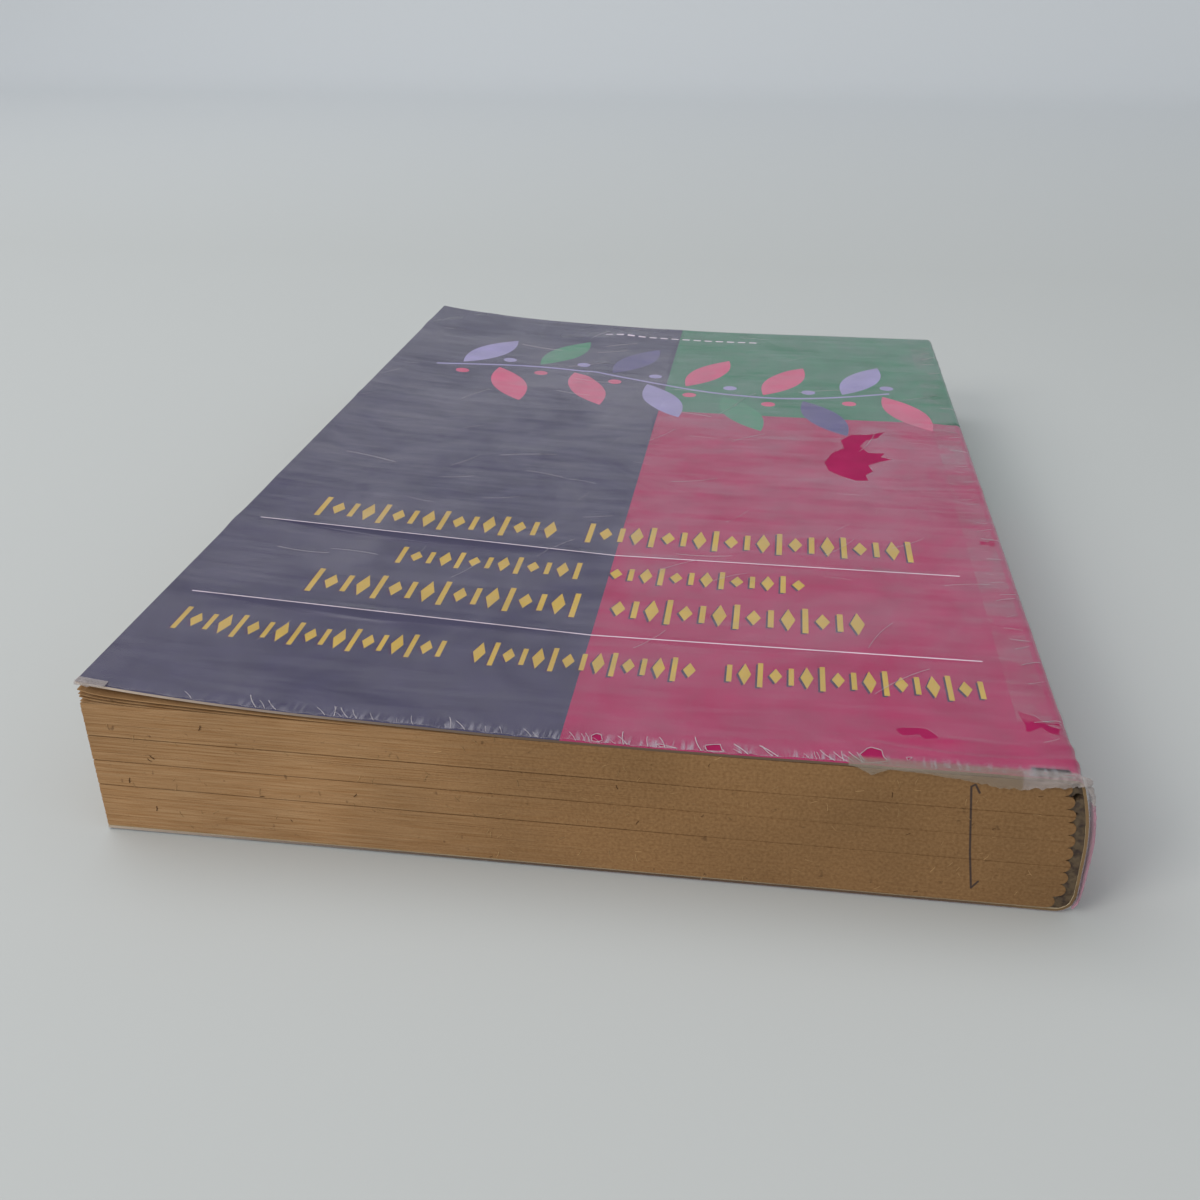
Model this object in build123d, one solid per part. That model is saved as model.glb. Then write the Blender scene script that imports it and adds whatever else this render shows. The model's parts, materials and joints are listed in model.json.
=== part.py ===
from build123d import *
import math
import os

# A thick paperback book lying shut on its back cover, with worn clear film over its card cover.
#
# Frame, in millimetres: the origin is the middle of the underside. +X points to the spine, -X to the fore
# edge, -Y to the head of the book, +Y to its tail and +Z up, out of the front cover.
#
# The pages are one block of folded sections. The folds face the spine as a row of rounded ridges, and glue
# fills the space between them and the card. The card cover is creased beside the spine at the front and the
# back, so a front panel, a spine channel and a back panel can turn about those creases. Clear film covers
# all three, and a strip of tape under the film wraps the spine.

# ---- Book ----
TRIM_HEIGHT = 216.0  # head to tail
OVERALL_WIDTH = 142.0  # fore edge of the front cover to the outside of the spine
SPINE_HEIGHT = 22.2  # outside of the back cover to the outside of the front cover, at the spine

# ---- Sheet thicknesses ----
CARD = 0.40  # cover card
FILM = 0.25  # clear film with its adhesive
TAPE = 0.10  # spine tape, pressed into the film's adhesive
SIDE_GLUE = 0.10  # glue between the first and last pages and the card, also the room under each cover
BACK_GLUE = 1.20  # glue between the ridges of the sections and the card

# ---- Outside of the spine, seen from the head ----
LOWER_CORNER = 3.0  # radius where the back cover turns into the spine
UPPER_CORNER = 1.6  # radius where the front cover turns into the spine
UPRIGHT_HEIGHT = 10.0  # the spine stands upright up to here, then leans in
SPINE_CURVE = 34.0  # radius of the leaning part

# ---- Sections of pages ----
SECTION_THICKNESS = 2.07  # the number of sections is what fits between the covers
RIDGE_DEPTH = 0.95  # how far a section's folded edge stands out between its neighbours
PAGE_SWELL = 0.8  # how much thicker the pages are at the fore edge
FORE_EDGE_LEAN = 0.4  # how far the fore edge leans in at the bottom

# ---- Loose leaves at the top of the block: (distance of the root from the fore edge, rise at the edge) ----
LOOSE_LEAVES = [(52.0, 2.0), (38.0, 0.9)]
LEAF_GROUP = 0.30  # thickness of a few leaves that have stayed together

# ---- Covers ----
CREASE_SETBACK = 7.0  # from the outside of the spine to each crease
CREASE_GAP = 0.20  # free room between a panel and the channel, at the crease
CURL_LENGTH = 91.0  # the part of the front cover, from its fore edge, that has curled up
CURL_HEAD = 4.0  # rise of the fore edge at the head
CURL_TAIL = 5.0  # rise of the fore edge at the tail

# ---- Tape ----
TAPE_ON_BACK = 21.0  # how far the tape reaches onto the back cover, from the outside of the spine

# ---- Places where the film has torn away from the front panel, as outlines in X and Y ----
PANEL_TEARS = [
    [(37, 8), (39, -3), (45, -5), (47, 6), (52, 9), (47, 12), (46, 20), (51, 27), (43, 24)],
    [(43, -97), (50, -98), (53, -102), (49, -102), (47, -99.5), (44, -99.5)],
    [(39, -105.5), (43, -104), (44.5, -108), (38.5, -108)],
    [(18, -105.5), (21, -105), (22, -107.5), (18.5, -107.7)],
    [(2.5, -106), (4, -105), (5.5, -106.5), (3.5, -107.5)],
]
# The same on the front strip of the channel, over the tape.
STRIP_TEARS = [
    [(64.4, -32), (66.4, -32), (66.4, -35), (65.2, -34.2), (64.2, -35)],
    [(63.6, -92), (66.2, -95), (66.4, -98), (64.6, -97), (63.4, -94)],
]

# ---- Worked out from the above ----
half_width = OVERALL_WIDTH / 2
half_height = TRIM_HEIGHT / 2
cover_build = FILM + CARD
lean = math.asin((SPINE_HEIGHT - UPRIGHT_HEIGHT - UPPER_CORNER) / (SPINE_CURVE - UPPER_CORNER))
curve_centre_x = half_width - SPINE_CURVE
upper_centre_x = curve_centre_x + (SPINE_CURVE - UPPER_CORNER) * math.cos(lean)
upper_centre_z = SPINE_HEIGHT - UPPER_CORNER
lower_centre_x = half_width - LOWER_CORNER
front_crease_x = upper_centre_x + UPPER_CORNER - CREASE_SETBACK
back_crease_x = half_width - CREASE_SETBACK
block_bottom = cover_build + SIDE_GLUE
block_top = SPINE_HEIGHT - cover_build - SIDE_GLUE
section_count = round((block_top - block_bottom) / SECTION_THICKNESS)
section_pitch = (block_top - block_bottom) / section_count
curl_start_x = CURL_LENGTH - half_width
fore_edge_bottom_x = -half_width + FORE_EDGE_LEAN


def at_head(x, z):
    """A point of the section at the head of the book."""
    return Vector(x, -half_height, z)


def through_book(edges):
    """The solid that a closed outline at the head makes when it runs the full height of the book."""
    return extrude(make_face(edges), TRIM_HEIGHT, dir=(0, 1, 0))


def polygon(points):
    """The closed outline through points of the section."""
    corners = [at_head(x, z) for x, z in points]
    return Polyline(*corners, close=True)


def arc_middle(centre_x, centre_z, radius, start, end):
    """The middle of an arc about a centre, between two angles from +X towards +Z."""
    angle = (start + end) / 2
    return at_head(centre_x + radius * math.cos(angle), centre_z + radius * math.sin(angle))


def spine_core(inset, left_x):
    """Everything inside the spine's outside face moved in by inset, from left_x to the spine."""
    lower = LOWER_CORNER - inset
    curve = SPINE_CURVE - inset
    upper = UPPER_CORNER - inset
    wall_x = half_width - inset
    lower_start = at_head(lower_centre_x, inset)
    lower_end = at_head(wall_x, LOWER_CORNER)
    curve_start = at_head(wall_x, UPRIGHT_HEIGHT)
    curve_end = at_head(
        curve_centre_x + curve * math.cos(lean), UPRIGHT_HEIGHT + curve * math.sin(lean)
    )
    upper_end = at_head(upper_centre_x, SPINE_HEIGHT - inset)
    top_left = at_head(left_x, SPINE_HEIGHT - inset)
    bottom_left = at_head(left_x, inset)
    quarter = math.pi / 2
    return through_book(
        [
            Line(bottom_left, lower_start),
            ThreePointArc(
                lower_start,
                arc_middle(lower_centre_x, LOWER_CORNER, lower, -quarter, 0),
                lower_end,
            ),
            Line(lower_end, curve_start),
            ThreePointArc(
                curve_start,
                arc_middle(curve_centre_x, UPRIGHT_HEIGHT, curve, 0, lean),
                curve_end,
            ),
            ThreePointArc(
                curve_end,
                arc_middle(upper_centre_x, upper_centre_z, upper, lean, quarter),
                upper_end,
            ),
            Line(upper_end, top_left),
            Line(top_left, bottom_left),
        ]
    )


def spine_channel(outer, inner):
    """A sheet that wraps the spine between two insets, with its edges at the two creases."""
    left_x = min(front_crease_x, back_crease_x)
    sheet = spine_core(outer, left_x) - spine_core(inner, left_x)
    middle_z = SPINE_HEIGHT / 2
    sheet -= slab(left_x, front_crease_x + CREASE_GAP / 2, middle_z, SPINE_HEIGHT)
    sheet -= slab(left_x, back_crease_x + CREASE_GAP / 2, 0, middle_z)
    return sheet


def slab(x0, x1, z0, z1):
    """A block of the book's full height between two places in X and two in Z."""
    return through_book(polygon([(x0, z0), (x1, z0), (x1, z1), (x0, z1)]))


def spine_face_x(z, inset):
    """Where the spine's face, moved in by inset, lies at height z."""
    if z < LOWER_CORNER:
        radius = LOWER_CORNER - inset
        return lower_centre_x + math.sqrt(max(radius**2 - (LOWER_CORNER - z) ** 2, 0))
    if z > upper_centre_z:
        radius = max(UPPER_CORNER - inset, 0)
        return upper_centre_x + math.sqrt(max(radius**2 - (z - upper_centre_z) ** 2, 0))
    rise = max(z - UPRIGHT_HEIGHT, 0)
    return curve_centre_x + math.sqrt((SPINE_CURVE - inset) ** 2 - rise**2)


def page_block():
    """All the pages: folded sections with rounded backs, and two groups of loose leaves on top."""
    ridge_inset = cover_build + BACK_GLUE
    half_section = section_pitch / 2

    def valley(index):
        z = block_bottom + index * section_pitch
        # At the top and the bottom of the block, a valley lies as deep as its only section's ridge.
        nearest = min(max(z, block_bottom + half_section), block_top - half_section)
        return at_head(spine_face_x(nearest, ridge_inset) - RIDGE_DEPTH, z)

    def ridge(index):
        z = block_bottom + index * section_pitch + half_section
        return at_head(spine_face_x(z, ridge_inset), z)

    ridges = [
        ThreePointArc(valley(index), ridge(index), valley(index + 1))
        for index in range(section_count)
    ]
    swell_start = at_head(curl_start_x, block_top)
    top_edge = at_head(-half_width, block_top + PAGE_SWELL)
    bottom_edge = at_head(fore_edge_bottom_x, block_bottom)
    outline = ridges + [
        Line(valley(section_count), swell_start),
        Line(swell_start, top_edge),
        Line(top_edge, bottom_edge),
        Line(bottom_edge, valley(0)),
    ]
    block = through_book(outline)
    for root_distance, rise in LOOSE_LEAVES:
        block += loose_leaves(root_distance, rise)
    return block


def loose_leaves(root_distance, rise):
    """A group of leaves that rises from the top of the block to the fore edge."""
    root_x = -half_width + root_distance
    root_z = block_top + PAGE_SWELL * (curl_start_x - root_x) / CURL_LENGTH
    edge_z = block_top + PAGE_SWELL + rise
    return through_book(
        polygon(
            [
                (root_x, root_z - LEAF_GROUP),
                (root_x, root_z),
                (-half_width, edge_z),
                (-half_width, edge_z - LEAF_GROUP),
            ]
        )
    )


def spine_glue(block):
    """Glue between the pages and the channel of the cover."""
    left_x = min(front_crease_x, back_crease_x)
    glue = spine_core(cover_build, left_x) - block
    middle_z = SPINE_HEIGHT / 2
    glue -= slab(left_x, front_crease_x + CREASE_GAP / 2, middle_z, SPINE_HEIGHT)
    glue -= slab(left_x, back_crease_x + CREASE_GAP / 2, 0, middle_z)
    return glue


def front_sheet_section(y, rise, outer, inner):
    """The front panel's sheet between two insets, cut across at y, where its fore edge rises."""
    radius = (CURL_LENGTH**2 + rise**2) / (2 * rise)
    edge_x = front_crease_x - CREASE_GAP / 2

    def face_z(x, inset):
        run = max(curl_start_x - x, 0)
        return SPINE_HEIGHT + radius - math.sqrt((radius + inset) ** 2 - run**2)

    def point(x, inset):
        return Vector(x, y, face_z(x, inset))

    middle_x = (curl_start_x - half_width) / 2
    return make_face(
        [
            Line(point(edge_x, inner), point(edge_x, outer)),
            Line(point(edge_x, outer), point(curl_start_x, outer)),
            ThreePointArc(
                point(curl_start_x, outer), point(middle_x, outer), point(-half_width, outer)
            ),
            Line(point(-half_width, outer), point(-half_width, inner)),
            ThreePointArc(
                point(-half_width, inner), point(middle_x, inner), point(curl_start_x, inner)
            ),
            Line(point(curl_start_x, inner), point(edge_x, inner)),
        ]
    )


def front_sheet(outer, inner):
    """A sheet of the front panel between two insets, more curled at the tail than at the head."""
    head = front_sheet_section(-half_height, CURL_HEAD, outer, inner)
    tail = front_sheet_section(half_height, CURL_TAIL, outer, inner)
    return loft([head, tail], ruled=True)


def tear(outline):
    """The space over one torn place, to cut from a sheet at the top of the book."""
    corners = [Vector(x, y, SPINE_HEIGHT - FILM / 2) for x, y in outline]
    torn = make_face(Polyline(*corners, close=True))
    return extrude(torn, CURL_TAIL, dir=(0, 0, 1)) + extrude(torn, FILM, dir=(0, 0, -1))


def front_film():
    """Film on the front panel, torn away in places."""
    film = front_sheet(0, FILM)
    for outline in PANEL_TEARS:
        film -= tear(outline)
    return film


def back_tape():
    """The part of the spine tape that reaches past the back crease."""
    return slab(
        half_width - TAPE_ON_BACK, back_crease_x - CREASE_GAP / 2, FILM - TAPE, FILM
    )


def back_film(tape):
    """Film on the back panel, with the tape pressed into it."""
    return slab(fore_edge_bottom_x, back_crease_x - CREASE_GAP / 2, 0, FILM) - tape


def spine_film():
    """Film on the channel, over the tape, torn away in places."""
    film = spine_channel(0, FILM - TAPE)
    for outline in STRIP_TEARS:
        film -= tear(outline) - spine_channel(FILM - TAPE, FILM)
    return film


def build():
    """Every node's solid by name."""
    pages = page_block()
    tape_flap = back_tape()
    return {
        "page_block": pages,
        "spine_glue": spine_glue(pages),
        "front_cover": front_sheet(FILM, cover_build),
        "spine_cover": spine_channel(FILM, cover_build),
        "back_cover": slab(
            fore_edge_bottom_x, back_crease_x - CREASE_GAP / 2, FILM, cover_build
        ),
        "spine_tape": spine_channel(FILM - TAPE, FILM),
        "back_tape": tape_flap,
        "front_film": front_film(),
        "spine_film": spine_film(),
        "back_film": back_film(tape_flap),
    }


os.makedirs("parts", exist_ok=True)
for name, solid in build().items():
    export_step(solid, f"parts/{name}.step")
print("front crease", round(front_crease_x, 3), SPINE_HEIGHT)
print("back crease", round(back_crease_x, 3), 0.0)
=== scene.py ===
"""A thick, worn paperback lying shut on a pale table.

The book is made of a block of tanned pages in folded sections, browned glue, a printed card cover, clear
tape round its spine and clear film over all of it. The film has hazed, wrinkled and torn, and its edge at
the head has frayed. Sizes are in millimetres until a mesh is made.
"""

from __future__ import annotations

import json
import logging
import math
from collections.abc import Callable, Sequence
from dataclasses import dataclass, field
from enum import Enum
from typing import Any

import bmesh
import bpy
import numpy as np
from mathutils import Matrix, Vector, noise
from mathutils.geometry import delaunay_2d_cdt


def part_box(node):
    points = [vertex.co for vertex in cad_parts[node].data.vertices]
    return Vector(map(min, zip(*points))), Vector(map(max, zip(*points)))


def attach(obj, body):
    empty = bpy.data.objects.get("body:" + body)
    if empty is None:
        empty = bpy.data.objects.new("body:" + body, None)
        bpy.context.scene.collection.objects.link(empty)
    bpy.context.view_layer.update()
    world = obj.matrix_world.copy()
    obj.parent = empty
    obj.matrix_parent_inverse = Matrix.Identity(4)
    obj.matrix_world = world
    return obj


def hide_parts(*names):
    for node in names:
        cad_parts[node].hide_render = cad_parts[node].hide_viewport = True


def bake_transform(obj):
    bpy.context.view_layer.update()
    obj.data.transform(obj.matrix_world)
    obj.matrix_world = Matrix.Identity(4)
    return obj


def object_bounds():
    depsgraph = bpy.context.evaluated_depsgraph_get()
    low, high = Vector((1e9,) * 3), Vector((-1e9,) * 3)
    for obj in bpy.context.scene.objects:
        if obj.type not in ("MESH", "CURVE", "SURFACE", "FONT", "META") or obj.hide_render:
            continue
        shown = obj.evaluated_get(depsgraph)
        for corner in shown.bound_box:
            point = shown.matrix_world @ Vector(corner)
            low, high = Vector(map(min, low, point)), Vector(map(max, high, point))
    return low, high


MM = 0.001
Array = np.ndarray
Outline = list[tuple[float, float]]
log = logging.getLogger("paperback")

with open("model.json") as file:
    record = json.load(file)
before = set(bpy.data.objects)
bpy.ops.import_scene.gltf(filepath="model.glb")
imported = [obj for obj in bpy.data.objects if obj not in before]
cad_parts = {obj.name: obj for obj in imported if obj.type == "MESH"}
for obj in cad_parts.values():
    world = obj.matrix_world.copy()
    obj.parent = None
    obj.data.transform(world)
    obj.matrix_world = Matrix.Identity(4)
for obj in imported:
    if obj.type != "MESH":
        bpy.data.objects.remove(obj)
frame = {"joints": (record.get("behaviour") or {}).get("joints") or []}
CAD_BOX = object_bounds()


# ---------------------------------------------------------------- helpers


def linear(hex_colour: str) -> tuple[float, float, float, float]:
    """Turn an sRGB hex colour into a linear one with full alpha.

    Args:
        hex_colour: Six hex digits, with or without a leading hash.

    Returns:
        The linear red, green, blue and an alpha of 1.
    """
    digits = hex_colour.lstrip("#")
    parts = [int(digits[i : i + 2], 16) / 255 for i in (0, 2, 4)]
    red, green, blue = (p / 12.92 if p <= 0.04045 else ((p + 0.055) / 1.055) ** 2.4 for p in parts)
    return red, green, blue, 1.0


def result(node: Any) -> bpy.types.NodeSocket:
    """The first output in use: a Mix or Random Value node has one of each type, and uses one."""
    return next(socket for socket in node.outputs if socket.enabled)


def set_inputs(tree: bpy.types.NodeTree, node: Any, inputs: dict[Any, Any]) -> None:
    """Set a node's inputs.

    Args:
        tree: The node tree.
        node: The node.
        inputs: Input name or number to a value, or to the node or socket that feeds it.
    """
    for key, value in inputs.items():
        if isinstance(value, bpy.types.Node):
            value = result(value)
        if isinstance(value, bpy.types.NodeSocket):
            tree.links.new(value, node.inputs[key])
        else:
            node.inputs[key].default_value = value


def add_node(
    tree: bpy.types.NodeTree, kind: str, inputs: dict[Any, Any] | None = None, **settings: Any
) -> Any:
    """Add a node with its settings and links.

    Args:
        tree: The node tree.
        kind: The node's type name.
        inputs: Input name or number to a value, or to the node or socket that feeds it.
        settings: Properties of the node itself.

    Returns:
        The new node.
    """
    node = tree.nodes.new(kind)
    for name, value in settings.items():
        setattr(node, name, value)
    set_inputs(tree, node, inputs or {})
    return node


def smooth_step(value: Array, low: float, high: float) -> Array:
    """Rise smoothly from 0 at low to 1 at high."""
    t = np.clip((value - low) / (high - low), 0, 1)
    return t * t * (3 - 2 * t)


def rolling_noise(points: Array, size: float, seed: float) -> Array:
    """Smooth noise over points.

    Args:
        points: Places, two or three numbers each, in millimetres.
        size: Width of a typical bump in millimetres.
        seed: Offset into the noise.

    Returns:
        One number from about -1 to 1 for each point.
    """
    flat = points.reshape(-1, points.shape[-1]) / size
    if flat.shape[1] == 2:
        flat = np.column_stack([flat, np.zeros(len(flat))])
    return np.array([noise.noise(Vector(p) + Vector((seed, -seed, seed))) for p in flat])


def make_piece(
    name: str,
    points: Array,
    faces: Sequence[Sequence[int]],
    finishes: Sequence[bpy.types.Material],
    finish_of_face: Sequence[int] | None = None,
    sharp_degrees: float = 35.0,
) -> bpy.types.Object:
    """Make an object at the origin from points in millimetres.

    Args:
        name: The object's name.
        points: One row of X, Y and Z for each vertex.
        faces: Vertex numbers of each face, turning outwards.
        finishes: Materials, in slot order.
        finish_of_face: Slot number of each face, or None for the first slot everywhere.
        sharp_degrees: Edges that bend more than this stay sharp.

    Returns:
        The object, in the scene.
    """
    mesh = bpy.data.meshes.new(name)
    mesh.from_pydata((np.asarray(points, float) * MM).tolist(), [], [list(f) for f in faces])
    for finish in finishes:
        mesh.materials.append(finish)
    if finish_of_face is not None:
        mesh.polygons.foreach_set("material_index", np.asarray(finish_of_face, np.int32))
    mesh.polygons.foreach_set("use_smooth", np.ones(len(mesh.polygons), bool))
    mesh.set_sharp_from_angle(angle=math.radians(sharp_degrees))
    mesh.validate()
    mesh.update()
    piece = bpy.data.objects.new(name, mesh)
    bpy.context.scene.collection.objects.link(piece)
    return piece


def inside(outline: Outline, places: Array) -> Array:
    """Tell which places lie inside an outline.

    Args:
        outline: Corners of a closed outline.
        places: One row of two numbers for each place.

    Returns:
        True for each place inside.
    """
    corners = np.array(outline, float)
    ends = np.roll(corners, -1, axis=0)
    result = np.zeros(len(places), bool)
    u, v = places[:, 0], places[:, 1]
    for (u0, v0), (u1, v1) in zip(corners, ends):
        if v0 == v1:
            continue
        crosses = (v0 > v) != (v1 > v)
        result ^= crosses & (u < (u1 - u0) * (v - v0) / (v1 - v0) + u0)
    return result


def recalculate_outwards(piece: bpy.types.Object) -> None:
    """Turn every face of a closed piece outwards."""
    shape = bmesh.new()
    shape.from_mesh(piece.data)
    bmesh.ops.recalc_face_normals(shape, faces=shape.faces)
    shape.to_mesh(piece.data)
    shape.free()


def slab_faces(rows: int, columns: int) -> list[list[int]]:
    """Faces of a closed slab between two grids of points, the second numbered after the first.

    Args:
        rows: Rows of each grid.
        columns: Columns of each grid.

    Returns:
        The faces of both sides and of the rim between them.
    """
    count = rows * columns
    faces = []
    for i in range(rows - 1):
        for j in range(columns - 1):
            a = i * columns + j
            b, c, d = a + 1, a + columns + 1, a + columns
            faces.append([a, b, c, d])
            faces.append([d + count, c + count, b + count, a + count])
    ring = list(range(columns))
    ring += [i * columns + columns - 1 for i in range(1, rows)]
    ring += [(rows - 1) * columns + j for j in range(columns - 2, -1, -1)]
    ring += [i * columns for i in range(rows - 2, 0, -1)]
    for a, b in zip(ring, ring[1:] + ring[:1]):
        faces.append([b, a, a + count, b + count])
    return faces


class GrowthTree:
    """A Geometry Nodes tree with named inputs that turns a base mesh into a plain finished mesh."""

    def __init__(self, name: str, inputs: dict[str, str]) -> None:
        """Start the tree.

        Args:
            name: The tree's name.
            inputs: The socket type of each input, by its name.
        """
        self.tree = bpy.data.node_groups.new(name, "GeometryNodeTree")
        self.tree.interface.new_socket("Base", in_out="INPUT", socket_type="NodeSocketGeometry")
        self.tree.interface.new_socket("Piece", in_out="OUTPUT", socket_type="NodeSocketGeometry")
        for label, kind in inputs.items():
            self.tree.interface.new_socket(label, in_out="INPUT", socket_type=kind)
        self.entry = add_node(self.tree, "NodeGroupInput").outputs
        self.exit = add_node(self.tree, "NodeGroupOutput").inputs[0]

    def node(self, kind: str, inputs: dict[Any, Any] | None = None, **settings: Any) -> Any:
        """Add a node to this tree, as add_node does."""
        return add_node(self.tree, kind, inputs, **settings)

    def finish(self, geometry: bpy.types.NodeSocket) -> None:
        """Realize what has grown and give it its finish.

        Args:
            geometry: The socket that gives the instances or the mesh.
        """
        plain = self.node("GeometryNodeRealizeInstances", {0: geometry})
        dressed = self.node("GeometryNodeSetMaterial", {0: plain, "Material": self.entry["Finish"]})
        self.tree.links.new(dressed.outputs[0], self.exit)

    def laid_on(self, geometry: bpy.types.NodeSocket) -> bpy.types.NodeSocket:
        """Drop every point straight down onto the bed, and keep its own height above it.

        Args:
            geometry: A mesh or curve whose Z is its height above the bed.

        Returns:
            The socket of the laid geometry.
        """
        place = self.node("GeometryNodeInputPosition").outputs[0]
        axes = self.node("ShaderNodeSeparateXYZ", {0: place}).outputs
        above = self.node("ShaderNodeCombineXYZ", {0: axes[0], 1: axes[1], 2: 0.1}).outputs[0]
        bed = self.node("GeometryNodeObjectInfo", {"Object": self.entry["Bed"]}).outputs["Geometry"]
        hit = self.node(
            "GeometryNodeRaycast",
            {
                "Target Geometry": bed,
                "Source Position": above,
                "Ray Direction": (0, 0, -1),
                "Ray Length": 0.2,
            },
        ).outputs
        ground = self.node("ShaderNodeSeparateXYZ", {0: hit["Hit Position"]}).outputs[2]
        level = self.node("ShaderNodeMath", {0: ground, 1: axes[2]}, operation="ADD").outputs[0]
        raised = self.node("ShaderNodeMath", {0: level, 1: self.entry["Stand Off"]}, operation="ADD")
        target = self.node("ShaderNodeCombineXYZ", {0: axes[0], 1: axes[1], 2: raised}).outputs[0]
        return self.node("GeometryNodeSetPosition", {"Geometry": geometry, "Position": target}).outputs[0]

    def grow(
        self,
        name: str,
        points: Sequence[Sequence[float]],
        edges: Sequence[tuple[int, int]],
        faces: Sequence[Sequence[int]],
        values: dict[str, Any],
    ) -> bpy.types.Object:
        """Run the tree on a base mesh and keep the result as a plain object.

        Args:
            name: The new object's name.
            points: Points of the base in millimetres.
            edges: Edges of the base.
            faces: Faces of the base.
            values: A value for each named input.

        Returns:
            The new object, in the scene.
        """
        mesh = bpy.data.meshes.new(name + "_base")
        mesh.from_pydata((np.asarray(points, float) * MM).tolist(), edges, faces)
        base = bpy.data.objects.new(name + "_base", mesh)
        bpy.context.scene.collection.objects.link(base)
        modifier = base.modifiers.new(name, "NODES")
        modifier.node_group = self.tree
        for socket in self.tree.interface.items_tree:
            if socket.in_out == "INPUT" and socket.name in values:
                modifier[socket.identifier] = values[socket.name]
        evaluated = base.evaluated_get(bpy.context.evaluated_depsgraph_get())
        grown = bpy.data.meshes.new_from_object(evaluated)
        base.modifiers.remove(modifier)
        bpy.data.objects.remove(base)
        grown.name = name
        piece = bpy.data.objects.new(name, grown)
        bpy.context.scene.collection.objects.link(piece)
        return piece


# ---------------------------------------------------------------- finishes


def start_finish(name: str) -> tuple[bpy.types.Material, bpy.types.NodeTree, Any, bpy.types.NodeSocket]:
    """Start a finish.

    Args:
        name: What the finish is.

    Returns:
        The material, its tree, its shader, and the socket that gives the place on the object in metres.
    """
    material = bpy.data.materials.new(name)
    material.use_nodes = True
    tree = material.node_tree
    place = add_node(tree, "ShaderNodeTexCoord").outputs["Object"]
    return material, tree, tree.nodes["Principled BSDF"], place


def darkened(tree: bpy.types.NodeTree, colour: Any, share: Any) -> Any:
    """Multiply a colour by a share that varies from place to place.

    Args:
        tree: The finish's node tree.
        colour: A linear colour, or the node that gives one.
        share: The node that gives the share.

    Returns:
        The node that gives the product.
    """
    return add_node(
        tree,
        "ShaderNodeMix",
        {"Factor": 1.0, 6: colour, 7: share},
        data_type="RGBA",
        blend_type="MULTIPLY",
    )


class Ink(Enum):
    """Printing inks on the cover card, darkened by age."""

    PURPLE = "#342F4C"
    MAGENTA = "#97194E"
    GREEN = "#2C6B50"
    YELLOW = "#B8983C"
    SHADOW = "#3C2746"
    PALE = "#D9C9D6"
    PINK = "#C04A70"
    LEAF = "#2F7A58"
    LILAC = "#8F86B4"
    PLUM = "#4E4577"


@dataclass(frozen=True)
class PrintedCard:
    """Cover card with offset print: flat colour with a faint mottle.

    Under the film the adhesive wets it, so it shares the film's soft gloss. Where the film has torn away it
    is dull, and its colour is at its deepest.
    """

    ink: Ink
    wetted: bool = True

    def material(self) -> bpy.types.Material:
        """Build the card's printed face."""
        state = "under_film" if self.wetted else "laid_bare"
        material, tree, shader, place = start_finish(f"printed_card_{self.ink.name.lower()}_{state}")
        # Ink lies unevenly on the board in patches about 6 mm wide.
        mottle = add_node(tree, "ShaderNodeTexNoise", {"Vector": place, "Scale": 1 / (6 * MM), "Detail": 4.0})
        shade = add_node(
            tree,
            "ShaderNodeMapRange",
            {"Value": mottle, "From Min": 0.3, "From Max": 0.7, "To Min": 0.9, "To Max": 1.1},
        )
        colour = darkened(tree, linear(self.ink.value), shade)
        # Board fibres under the coating, about 0.5 mm long.
        fibre = add_node(
            tree, "ShaderNodeTexNoise", {"Vector": place, "Scale": 1 / (0.5 * MM), "Detail": 2.0}
        )
        bump = add_node(
            tree, "ShaderNodeBump", {"Height": fibre, "Strength": 0.04, "Distance": 0.05 * MM}
        )
        set_inputs(
            tree,
            shader,
            {
                "Base Color": colour,
                "Normal": bump,
                "Roughness": 0.65,
                "Specular IOR Level": 0.1,
                "Coat Weight": 0.9 if self.wetted else 0.0,
                "Coat Roughness": 0.27,
            },
        )
        return material


@dataclass(frozen=True)
class BareCard:
    """Uncoated side and cut edge of the cover card: matt cream board, yellowed."""

    colour: str = "#CDBFA4"

    def material(self) -> bpy.types.Material:
        """Build the bare board."""
        material, tree, shader, place = start_finish("uncoated_board")
        # Yellowing in soft clouds about 25 mm wide.
        cloud = add_node(tree, "ShaderNodeTexNoise", {"Vector": place, "Scale": 1 / (25 * MM), "Detail": 5.0})
        ramp = add_node(tree, "ShaderNodeValToRGB", {"Fac": cloud})
        ramp.color_ramp.elements[0].position = 0.3
        ramp.color_ramp.elements[0].color = linear("#B9A585")
        ramp.color_ramp.elements[1].position = 0.7
        ramp.color_ramp.elements[1].color = linear(self.colour)
        grain = add_node(
            tree, "ShaderNodeTexNoise", {"Vector": place, "Scale": 1 / (0.4 * MM), "Detail": 3.0}
        )
        bump = add_node(tree, "ShaderNodeBump", {"Height": grain, "Strength": 0.2, "Distance": 0.05 * MM})
        set_inputs(
            tree,
            shader,
            {"Base Color": ramp, "Normal": bump, "Roughness": 0.85, "Specular IOR Level": 0.25},
        )
        return material


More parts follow.
